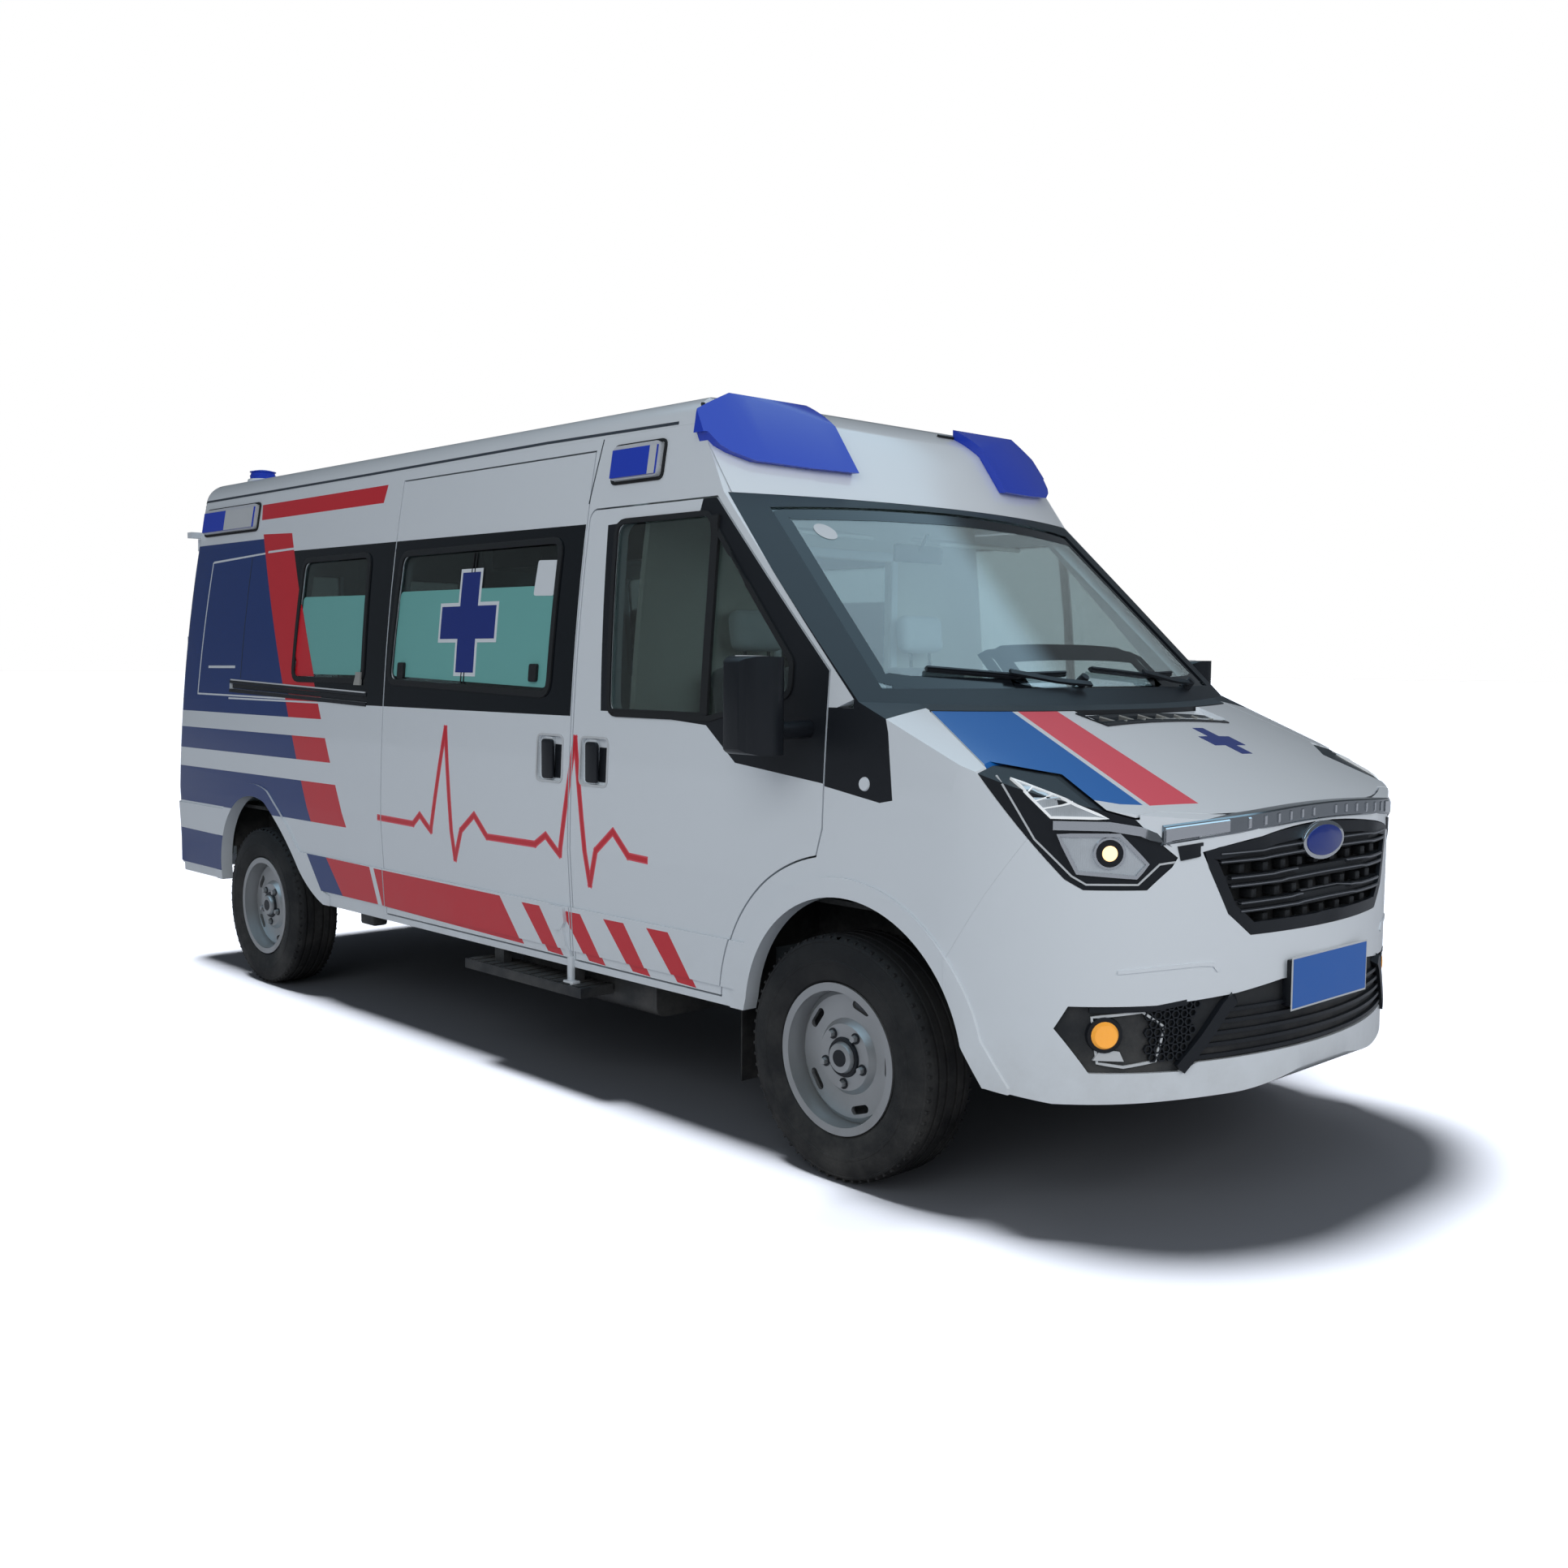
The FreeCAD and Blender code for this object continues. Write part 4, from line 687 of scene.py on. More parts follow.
class Skin:
    """The outer surface of some CAD nodes, on which thin pieces are laid."""

    def __init__(self, *names: str) -> None:
        """Gathers the surface of the named nodes."""
        bm = joined(node_shape(name) for name in names)
        self.tree = BVHTree.FromBMesh(bm)
        bm.free()

    def touch(self, point: Vector, out: Vector) -> tuple[Vector, Vector]:
        """Where a ray from outside meets the surface, and the outward normal there."""
        hit, normal, _, _ = self.tree.ray_cast(point + out * RAY_START, -out)
        if hit is None:
            hit, normal, _, _ = self.tree.find_nearest(point)
        return hit, normal if normal.dot(out) > 0 else -normal

    def plate(self, outline: Sequence[Point3], out: Point3, lift: float, thickness: float,
              step: float = 0.03) -> Shape:
        """A thin plate that follows the surface inside an outline.

        Args:
            outline: Its corners, near the surface.
            out: The direction from which the outline is seen.
            lift: Its outer face above the surface.
            thickness: Its thickness.
            step: The spacing of the lines along which it bends.

        Returns:
            The plate's shape.
        """
        out = Vector(out).normalized()
        points = [Vector(p) for p in outline]
        middle = sum(points, Vector()) / len(points)
        up = Vector((0, 0, 1)) if abs(out.z) < 0.9 else Vector((1, 0, 0))
        across = up.cross(out).normalized()
        bm = bmesh.new()
        bm.faces.new([bm.verts.new(p - out * out.dot(p - middle)) for p in points])
        for normal in (across, out.cross(across)):
            values = [v.co.dot(normal) for v in bm.verts]
            for k in range(math.ceil(min(values) / step), math.floor(max(values) / step) + 1):
                geom = bm.verts[:] + bm.edges[:] + bm.faces[:]
                bmesh.ops.bisect_plane(bm, geom=geom, plane_co=normal * (k * step), plane_no=normal,
                                       dist=1e-5)
        for vert in bm.verts:
            hit, normal = self.touch(vert.co, out)
            vert.co = hit + normal * lift
        thicken(bm, out * -thickness)
        return bm

    def line(self, path: Sequence[Point3], out: Point3, width: float, height: float, lift: float = 0.0,
             closed: bool = False, step: float = 0.03) -> Shape:
        """A strip that follows a path on the surface.

        Args:
            path: The points of its middle, near the surface.
            out: The direction from which the path is seen.
            width: Its width on the surface.
            height: Its thickness.
            lift: Its underside above the surface.
            closed: Whether it returns to its first point.
            step: The length of its pieces.

        Returns:
            The strip's shape.
        """
        out = Vector(out).normalized()
        points = [Vector(p) for p in path]
        if closed:
            points.append(points[0])
        fine = []
        for a, b in zip(points, points[1:]):
            count = max(1, round((b - a).length / step))
            fine += [a.lerp(b, k / count) for k in range(count)]
        if not closed:
            fine.append(points[-1])
        places = [self.touch(p, out) for p in fine]
        last = len(places) - 1
        half, top = width / 2, lift + height
        section = ((-half, lift), (half, lift), (half, top), (-half, top))
        rings = []
        for i, (hit, normal) in enumerate(places):
            before = places[i - 1][0] if i or closed else hit
            after = places[0 if i == last else i + 1][0] if i < last or closed else hit
            aside = (after - before).cross(normal).normalized()
            rings.append([hit + aside * a + normal * b for a, b in section])
        return loft(rings, closed)

    def knob(self, point: Point3, out: Point3, radius: float, height: float,
             top: Optional[float] = None) -> Shape:
        """A round disc or cone that stands on the surface."""
        hit, normal = self.touch(Vector(point), Vector(out).normalized())
        return disc(tuple(hit - normal * 0.001), radius, height + 0.001, tuple(normal), 24, top)


def rectangle(x0: float, z0: float, x1: float, z1: float) -> list[Point2]:
    """An upright rectangle's outline."""
    return [(x0, z0), (x0, z1), (x1, z1), (x1, z0)]


def rounded(outline: Sequence[Point2], radius: float, steps: int = 4) -> list[Point2]:
    """An outline with its corners rounded by short lines."""
    points = []
    count = len(outline)
    for i, corner in enumerate(outline):
        here = Vector(corner)
        back = Vector(outline[i - 1]) - here
        ahead = Vector(outline[(i + 1) % count]) - here
        reach = min(radius / math.tan(back.angle(ahead) / 2), back.length * 0.45, ahead.length * 0.45)
        start, end = here + back.normalized() * reach, here + ahead.normalized() * reach
        for k in range(steps + 1):
            t = k / steps
            points.append(tuple(start * (1 - t) ** 2 + here * 2 * t * (1 - t) + end * t ** 2))
    return points


def oval(centre: Point2, wide: float, high: float, steps: int = 28) -> list[Point2]:
    """An oval outline."""
    turns = (math.tau * k / steps for k in range(steps))
    return [(centre[0] + wide * math.cos(a), centre[1] + high * math.sin(a)) for a in turns]


def cross(centre: Point2, reach: float, arm: float) -> list[Point2]:
    """The outline of a plain upright cross."""
    x, y = centre
    quarter = [(arm, -reach), (arm, -arm), (reach, -arm)]
    corners = []
    for turn in range(4):
        c, s = round(math.cos(turn * math.pi / 2)), round(math.sin(turn * math.pi / 2))
        corners += [(x + u * c - v * s, y + u * s + v * c) for u, v in quarter]
    return corners


class Kit:
    """Shapes gathered for one piece, each with the number of its finish."""

    def __init__(self, skin: Optional[Skin] = None, out: Point3 = FORWARD,
                 start: Optional[float] = None) -> None:
        """Begins with no shape.

        Args:
            skin: The surface on which lines, plates and knobs are laid.
            out: The direction from which their drawings are seen.
            start: The X or Y near the surface at which flat drawings are held, or None
                where their points have all three coordinates.
        """
        self.skin = skin
        self.look(out, start)
        self.parts: list[Shape] = []

    @classmethod
    def beside(cls, skin: Skin, side: float) -> "Kit":
        """A kit whose drawings are in the side view, from the left (1) or the right (-1)."""
        return cls(skin, (0, side, 0), SIDE_START * side)

    def look(self, out: Point3, start: Optional[float]) -> None:
        """Changes the direction and place of the next drawings."""
        self.out = out
        self.start = start

    def held(self, points: Iterable[Sequence[float]]) -> list[Point3]:
        """A drawing's points in space, near the surface."""
        if self.start is None:
            return list(points)
        if self.out[0]:
            return [(self.start, y, z) for y, z in points]
        return [(x, self.start, z) for x, z in points]

    def hit(self, point: Point2) -> Vector:
        """Where a point of a drawing falls on the surface."""
        return self.skin.touch(Vector(self.held([point])[0]), Vector(self.out))[0]

    def add(self, number: int, *shapes: Shape) -> None:
        """Takes shapes that have one finish."""
        self.parts += [painted(shape, number) for shape in shapes]

    def line(self, number: int, path: Sequence[Sequence[float]], width: float, height: float,
             lift: float = 0.0, closed: bool = False) -> None:
        """Adds a strip along a path of the drawing."""
        self.add(number, self.skin.line(self.held(path), self.out, width, height, lift, closed))

    def plate(self, number: int, outline: Sequence[Sequence[float]], lift: float, thickness: float,
              step: float = 0.03) -> None:
        """Adds a thin plate inside an outline of the drawing."""
        self.add(number, self.skin.plate(self.held(outline), self.out, lift, thickness, step))

    def knob(self, number: int, point: Sequence[float], radius: float, height: float, top: float) -> None:
        """Adds a round disc or cone at a point of the drawing."""
        self.add(number, self.skin.knob(self.held([point])[0], self.out, radius, height, top))

    def whole(self) -> Shape:
        """All shapes in one, which uses them up."""
        return joined(self.parts)

    def into(self, name: str, body: str, finishes: Sequence[Finish], slot: str, angle: float = 40.0,
             replaces: Sequence[str] = ()) -> bpy.types.Object:
        """Makes a piece of all shapes; the values are those of Piece."""
        return Piece(name, body, finishes, slot, angle, replaces).place(self.whole())


# Livery


def anticlockwise(polygon: Sequence[Point2]) -> Sequence[Point2]:
    """The polygon with its corners anticlockwise."""
    following = list(polygon[1:]) + [polygon[0]]
    area = sum(a[0] * b[1] - b[0] * a[1] for a, b in zip(polygon, following))
    return polygon if area > 0 else list(polygon)[::-1]


class View(Enum):
    """The flat view in which a stripe is drawn, as the numbers of its two axes."""

    SIDE = (0, 2)
    PLAN = (0, 1)


@dataclass(frozen=True)
class Stripe:
    """A convex patch of colour, drawn in a flat view of the vehicle."""

    finish: Finish
    corners: tuple[Point2, ...]
    view: View = View.SIDE

    def lay(self, bm: Shape, number: int, side: float) -> None:
        """Cuts the patch into a panel and gives its faces a material number.

        Args:
            bm: The panel.
            number: The patch's material number.
            side: 1 or -1, the Y side that the patch is on; the plan view doesn't use it.
        """
        a, b = self.view.value
        corners = anticlockwise(self.corners)
        lows = [min(c[i] for c in corners) for i in (0, 1)]
        highs = [max(c[i] for c in corners) for i in (0, 1)]

        def near(face: bmesh.types.BMFace) -> bool:
            """Whether a face looks towards the view and may touch the patch."""
            if self.view is View.SIDE and face.normal.y * side < SIDE_FACING:
                return False
            if self.view is View.PLAN and face.normal.z < TOP_FACING:
                return False
            for axis, low, high in ((a, lows[0], highs[0]), (b, lows[1], highs[1])):
                values = [v.co[axis] for v in face.verts]
                if max(values) < low or min(values) > high:
                    return False
            return True

        sides = list(zip(corners, list(corners[1:]) + [corners[0]]))
        for start, end in sides:
            along = Vector((end[0] - start[0], end[1] - start[1]))
            out = Vector((along.y, -along.x)).normalized()
            place, normal = Vector((0, 0, 0)), Vector((0, 0, 0))
            place[a], place[b] = start
            normal[a], normal[b] = out
            faces = [f for f in bm.faces if near(f)]
            geom = set(faces)
            for face in faces:
                geom.update(face.edges)
                geom.update(face.verts)
            bmesh.ops.bisect_plane(bm, geom=list(geom), plane_co=place, plane_no=normal, dist=1e-6)
        for face in bm.faces:
            if not near(face):
                continue
            centre = face.calc_center_median()
            here = (centre[a], centre[b])
            if all((end[0] - start[0]) * (here[1] - start[1]) > (end[1] - start[1]) * (here[0] - start[0])
                   for start, end in sides):
                face.material_index = number


def ribbon(finish: Finish, points: Sequence[Point2], width: float) -> list[Stripe]:
    """A line of one width through points in the side view, as a chain of patches."""
    chain = []
    for start, end in zip(points, points[1:]):
        a, b = Vector(start), Vector(end)
        along = (b - a).normalized()
        across = Vector((-along.y, along.x)) * width / 2
        a, b = a - along * width * 0.35, b + along * width * 0.35
        outline = (a - across, b - across, b + across, a + across)
        chain.append(Stripe(finish, tuple(tuple(p) for p in outline)))
    return chain


@dataclass
class Livery:
    """The coloured films on the outside of the vehicle, measured in the side view."""

    heartbeat: tuple[Point2, ...] = (
        (-0.713, 0.866), (-0.434, 0.862), (-0.384, 0.902), (-0.3, 0.845), (-0.206, 1.252), (-0.133, 0.75),
        (-0.079, 0.866), (0.011, 0.932), (0.101, 0.857), (0.414, 0.858), (0.479, 0.896), (0.565, 0.834),
        (0.642, 1.248), (0.734, 0.746), (0.777, 0.869), (0.871, 0.942), (0.957, 0.867), (1.052, 0.863))
    stripes: list[Stripe] = field(default_factory=list)

    def __post_init__(self) -> None:
        """Lists the patches from the bottom layer to the top one."""
        add = self.stripes.append
        add(Stripe(DARK_GLOSS, ((-1.76, 1.998), (0.607, 1.985), (0.607, 1.322), (-1.42, 1.322))))
        add(Stripe(BLUE, ((-2.704, 2.068), (-1.8, 2.068), (-1.15, 0.8), (-2.771, 0.8))))
        for corners in (((-2.462, 1.984), (-1.862, 2.004), (-1.862, 1.996), (-2.462, 1.974)),
                        ((-2.47, 1.98), (-2.46, 1.98), (-2.52, 1.336), (-2.53, 1.336)),
                        ((-2.528, 1.342), (-1.56, 1.338), (-1.56, 1.33), (-2.528, 1.334))):
            add(Stripe(WHITE, corners))
        add(Stripe(RED, ((-1.944, 2.09), (-1.65, 2.08), (-0.993, 0.8), (-1.315, 0.8))))
        for low, high in ((1.172, 1.252), (0.976, 1.068)):
            add(Stripe(WHITE, ((-2.95, low), (-0.9, low), (-0.9, high), (-2.95, high))))
        add(Stripe(RED, ((-1.996, 2.23), (-0.822, 2.234), (-0.841, 2.16), (-1.982, 2.158))))
        add(Stripe(WHITE, ((-1.87, 2.008), (-1.52, 2.014), (-1.52, 2.004), (-1.87, 1.998))))
        add(Stripe(WHITE, ((-2.17, 1.327), (-1.05, 1.327), (-1.05, 1.319), (-2.17, 1.319))))
        add(Stripe(BLUE, ((-2.772, 0.662), (-2.232, 0.658), (-2.277, 0.484), (-2.772, 0.486))))
        add(Stripe(BLUE, ((-1.36, 0.655), (-1.18, 0.655), (-1.05, 0.5), (-1.248, 0.5))))
        add(Stripe(RED, ((-1.18, 0.655), (-0.8, 0.652), (-0.745, 0.498), (-1.05, 0.5))))
        add(Stripe(RED, ((-0.765, 0.65), (0.177, 0.645), (0.309, 0.48), (-0.71, 0.496))))
        for x in (0.32, 0.567, 0.812, 1.047):
            add(Stripe(RED, ((x, 0.638), (x + 0.112, 0.638), (x + 0.235, 0.472), (x + 0.14, 0.476))))
        self.stripes += ribbon(ROSE, self.heartbeat, 0.026)
        self.stripes += ribbon(RED, self.heartbeat, 0.016)

    def dress(self, bm: Shape, finishes: list[Finish], side: float) -> None:
        """Lays the side's patches on a panel.

        Args:
            bm: The panel.
            finishes: The panel's finishes, to which the films are added.
            side: 1 for the left and -1 for the right.
        """
        lows = [min(v.co[i] for v in bm.verts) for i in (0, 2)]
        highs = [max(v.co[i] for v in bm.verts) for i in (0, 2)]
        for stripe in self.stripes:
            xs = [c[0] for c in stripe.corners]
            zs = [c[1] for c in stripe.corners]
            if max(xs) < lows[0] or min(xs) > highs[0] or max(zs) < lows[1] or min(zs) > highs[1]:
                continue
            if stripe.finish not in finishes:
                finishes.append(stripe.finish)
            stripe.lay(bm, finishes.index(stripe.finish), side)


# Sub-assemblies


@dataclass
class Bodywork:
    """Painted panels of the body, with the films laid on them."""

    livery: Livery
    trim: tuple[Point2, ...] = ((0.79, 1.352), (1.33, 1.315), (1.475, 1.205), (1.86, 1.165))

    @staticmethod
    def place(node: str, body: str, finishes: Sequence[Finish], bm: Shape) -> None:
        """Puts a dressed panel in the place of its CAD node."""
        Piece(node + "_painted", body, finishes, "body_paint", 24.0, (node,)).place(bm)

    def panel(self, node: str, body: str, side: float, extra: Sequence[Stripe] = ()) -> None:
        """Dresses one side panel, with its films and other patches.

        Args:
            node: The CAD node it stands for.
            body: The body it rides on.
            side: 1 for the left and -1 for the right.
            extra: More patches, laid first.
        """
        bm = node_shape(node)
        finishes = [WHITE]
        for stripe in extra:
            if stripe.finish not in finishes:
                finishes.append(stripe.finish)
            stripe.lay(bm, finishes.index(stripe.finish), side)
        self.livery.dress(bm, finishes, side)
        self.place(node, body, finishes, bm)

    def door_patches(self) -> list[Stripe]:
        """Black frame and trim round the glass of a front door."""
        a, b, c, d = self.trim
        outlines = (((0.78, 1.345), (0.735, 1.975), (1.25, 1.99), (1.33, 1.345)),
                    ((1.215, 1.99), (1.245, 2.12), (1.95, 2.12), (1.95, 1.35), (1.215, 1.33)),
                    (a, b, (1.33, 1.4), (0.79, 1.4)),
                    (b, c, (1.475, 1.45), (1.32, 1.4)),
                    (c, d, (1.9, 1.5), (1.46, 1.45)))
        return [Stripe(SATIN_BLACK, outline) for outline in outlines]

    def wing_patches(self) -> list[Stripe]:
        """Black trim on a front wing, ahead of the mirror."""
        return [Stripe(SATIN_BLACK, ((1.8, 1.168), (2.085, 1.125), (2.135, 1.135), (2.15, 1.175),
                                     (2.105, 1.32), (2.06, 1.62), (1.8, 1.8)))]

    def build(self) -> None:
        """Dresses every painted panel."""
        self.panel("side_panel_right", "shell", -1.0)
        self.panel("side_panel_left", "shell", 1.0)
        self.panel("sliding_door", "shell", -1.0)
        self.panel("front_door_right", "front_door_right", -1.0, self.door_patches())
        self.panel("front_door_left", "front_door_left", 1.0, self.door_patches())
        self.wings()
        self.bonnet()
        self.plain("roof", "shell")
        self.plain("front_bumper", "shell")
        self.rear()

    def plain(self, node: str, body: str) -> None:
        """Dresses a panel that has no film."""
        self.place(node, body, [WHITE], node_shape(node))

    def wings(self) -> None:
        """Dresses the front wings, with the black trim at their tops."""
        bm = node_shape("front_wings")
        for side, _ in SIDES:
            for stripe in self.wing_patches():
                stripe.lay(bm, 1, side)
        self.place("front_wings", "shell", [WHITE, SATIN_BLACK], bm)

    def bonnet(self) -> None:
        """Dresses the bonnet, with the two slanting stripes on its right half."""
        bm = node_shape("bonnet")
        stripes = (
            Stripe(AZURE, ((2.05, -0.8), (2.1, -0.5), (2.716, -0.64), (2.689, -0.706), (2.5, -0.95)),
                   View.PLAN),
            Stripe(ROSE, ((2.1, -0.478), (2.12, -0.325), (2.764, -0.447), (2.725, -0.622)), View.PLAN))
        for number, stripe in enumerate(stripes, 1):
            stripe.lay(bm, number, 0.0)
        self.place("bonnet", "bonnet", [WHITE, AZURE, ROSE], bm)

    def rear(self) -> None:
        """Dresses the rear doors and the rear bumper."""
        for _, name in SIDES:
            self.plain("rear_door_" + name, "rear_door_" + name)
        bm = node_shape("rear_bumper")
        for side, _ in SIDES:
            Stripe(BLUE, ((-2.95, 0.664), (-2.2, 0.656), (-2.2, 0.484), (-2.95, 0.486))).lay(bm, 1, side)
        self.place("rear_bumper", "shell", [WHITE, BLUE], bm)


@dataclass
class Glazing:
    """Films, frames and dividers on the windows."""

    slider: tuple[Point2, ...] = ((-0.65, 1.43), (-0.62, 1.93), (0.47, 1.93), (0.46, 1.4))
    rear: tuple[Point2, ...] = ((-1.5, 1.43), (-1.48, 1.94), (-0.9, 1.94), (-0.88, 1.43))
    door: tuple[Point2, ...] = ((0.83, 1.34), (0.79, 1.978), (1.262, 1.978), (1.7, 1.52),
                                (1.7, 1.42), (1.34, 1.34))
    film_top: float = 1.785
    emblem: Point2 = (-0.1, 1.655)
    emblem_reach: float = 0.19
    emblem_arm: float = 0.062
    divider_x: float = -0.11
    quarter_x: float = 1.312
    screen_x: float = 1.9
    label: Point2 = (-0.64, 1.925)

    def grown(self, outline: Sequence[Point2], by: float) -> list[Point2]:
        """An outline moved away from its middle by a distance."""
        middle = sum((Vector(p) for p in outline), Vector((0, 0))) / len(outline)
        grown = []
        for point in outline:
            step = Vector(point) - middle
            grown.append((point[0] + math.copysign(by, step.x), point[1] + math.copysign(by, step.y)))
        return grown

    def side(self, side: float, name: str) -> None:
        """Dresses the patient room's panes on one side."""
        panels = ("side_panel_right", "sliding_door") if side < 0 else ("side_panel_left",)
        skin = Skin("side_windows", *panels)
        films, frames, emblem, patches = (Kit.beside(skin, side) for _ in range(4))
        for pane in (self.slider, self.rear):
            (x0, z0), _, _, (x1, z1) = pane
            sheet = [(x0 + 0.016, z0 + 0.016), (x0 + 0.03, self.film_top),
                     (x1 - 0.01, self.film_top - 0.006), (x1 - 0.018, z1 + 0.016)]
            films.plate(0, rounded(sheet, 0.022), 0.0014, 0.0012)
            frames.line(0, rounded(self.grown(pane, 0.008), 0.05), 0.024, 0.007, -0.001, True)
        for x in (self.divider_x, self.divider_x + 0.02):
            frames.line(0, [(x + 0.012, 1.918), (x - 0.012, 1.424)], 0.007, 0.003)
        for x in (-0.585, 0.345):
            catch = [(x, 1.436), (x + 0.046, 1.436), (x + 0.046, 1.5), (x, 1.5)]
            frames.plate(0, rounded(catch, 0.01), 0.013, 0.012)
        for number, rim, lift, thickness in ((0, 0.014, 0.0026, 0.0012), (1, 0.0, 0.0034, 0.001)):
            arms = cross(self.emblem, self.emblem_reach + rim, self.emblem_arm + rim)
            emblem.plate(number, arms, lift, thickness)
        patches.plate(0, [(-1.497, 1.78), (-1.318, 1.436), (-1.497, 1.436)], 0.003, 0.0018)
        if side < 0:
            note = [(0.325, 1.745), (0.337, 1.872), (0.462, 1.868), (0.45, 1.742)]
            patches.plate(1, rounded(note, 0.012), 0.003, 0.0012)
        patches.plate(2, rectangle(-0.93, 1.404, -0.876, 1.458), 0.012, 0.008)
        films.into("pane_films_" + name, "shell", [TEAL], "window_glass")
        frames.into("pane_frames_" + name, "shell", [RUBBER], "black_rubber")
        emblem.into("pane_cross_" + name, "shell", [WHITE, NAVY], "body_paint")
        patches.into("pane_patches_" + name, "shell", [RED, WHITE, GREY], "body_paint")

    def front_door(self, side: float, name: str) -> None:
        """The quarter pane's divider and the seal round the glass of a front door."""
        door = "front_door_" + name
        kit = Kit.beside(Skin(door, "front_door_glass_" + name), side)
        seal = rounded(self.grown(self.door, 0.004)[:4] + [(1.704, 1.416), (1.344, 1.336)], 0.045)
        bar = [(self.quarter_x - 0.012, 1.972), (self.quarter_x, 1.7), (self.quarter_x + 0.006, 1.346)]
        kit.line(0, seal, 0.018, 0.006, -0.001, True)
        kit.line(0, bar, 0.034, 0.013, -0.003)
        kit.line(0, [(0.84, 1.347), (1.33, 1.347)], 0.014, 0.012, -0.002)
        kit.into("door_seals_" + name, door, [RUBBER], "black_rubber")

    def windscreen(self) -> None:
        """The black border baked into the windscreen, and a small label on it."""
        border, label = (Kit(Skin("windscreen"), FORWARD, self.screen_x) for _ in range(2))
        half = [(0.0, 1.434), (0.4, 1.44), (0.7, 1.452), (0.838, 1.47), (0.8, 1.7),
                (0.75, 1.978), (0.4, 1.992), (0.0, 1.999)]
        border.line(0, half + [(-y, z) for y, z in half[-2:0:-1]], 0.052, 0.0006, 0.0003, True)
        border.line(0, [(-0.82, 1.452), (0.0, 1.432), (0.82, 1.452)], 0.075, 0.0005, 0.0003)
        label.plate(0, oval(self.label, 0.036, 0.026), 0.001, 0.0006)
        border.into("screen_border", "shell", [DARK_GLOSS], "window_glass")
        label.into("screen_label", "shell", [PALE], "window_glass")

    def build(self) -> None:
        """Dresses all windows."""
        for side, name in SIDES:
            self.side(side, name)
            self.front_door(side, name)
        self.windscreen()


@dataclass
class Wipers:
    """Two wipers parked on the foot of the windscreen."""

    pivots: tuple[float, ...] = (0.56, -0.12)
    reach: float = 0.56
    start_x: float = 1.95

    def build(self) -> None:
        """Makes the arms and blades."""
        kit = Kit(Skin("windscreen", "cowl", "screen_frame"), FORWARD, self.start_x)
        for y in self.pivots:
            blade = [(y - 0.03, 1.476), (y - self.reach / 2, 1.47), (y - self.reach, 1.49)]
            kit.line(0, blade, 0.016, 0.01, 0.004)
            kit.line(0, blade, 0.007, 0.008, 0.013)
            arm = [(y + 0.02, 1.434), (y - 0.12, 1.446), (y - self.reach / 2, 1.472)]
            kit.line(0, arm, 0.018, 0.009, 0.02)
            kit.add(0, kit.skin.knob((2.05, y + 0.02, 1.432), (1, 0, 0.3), 0.019, 0.034, 0.014))
        kit.into("wipers", "shell", [SATIN_BLACK], "black_plastic", 35.0)


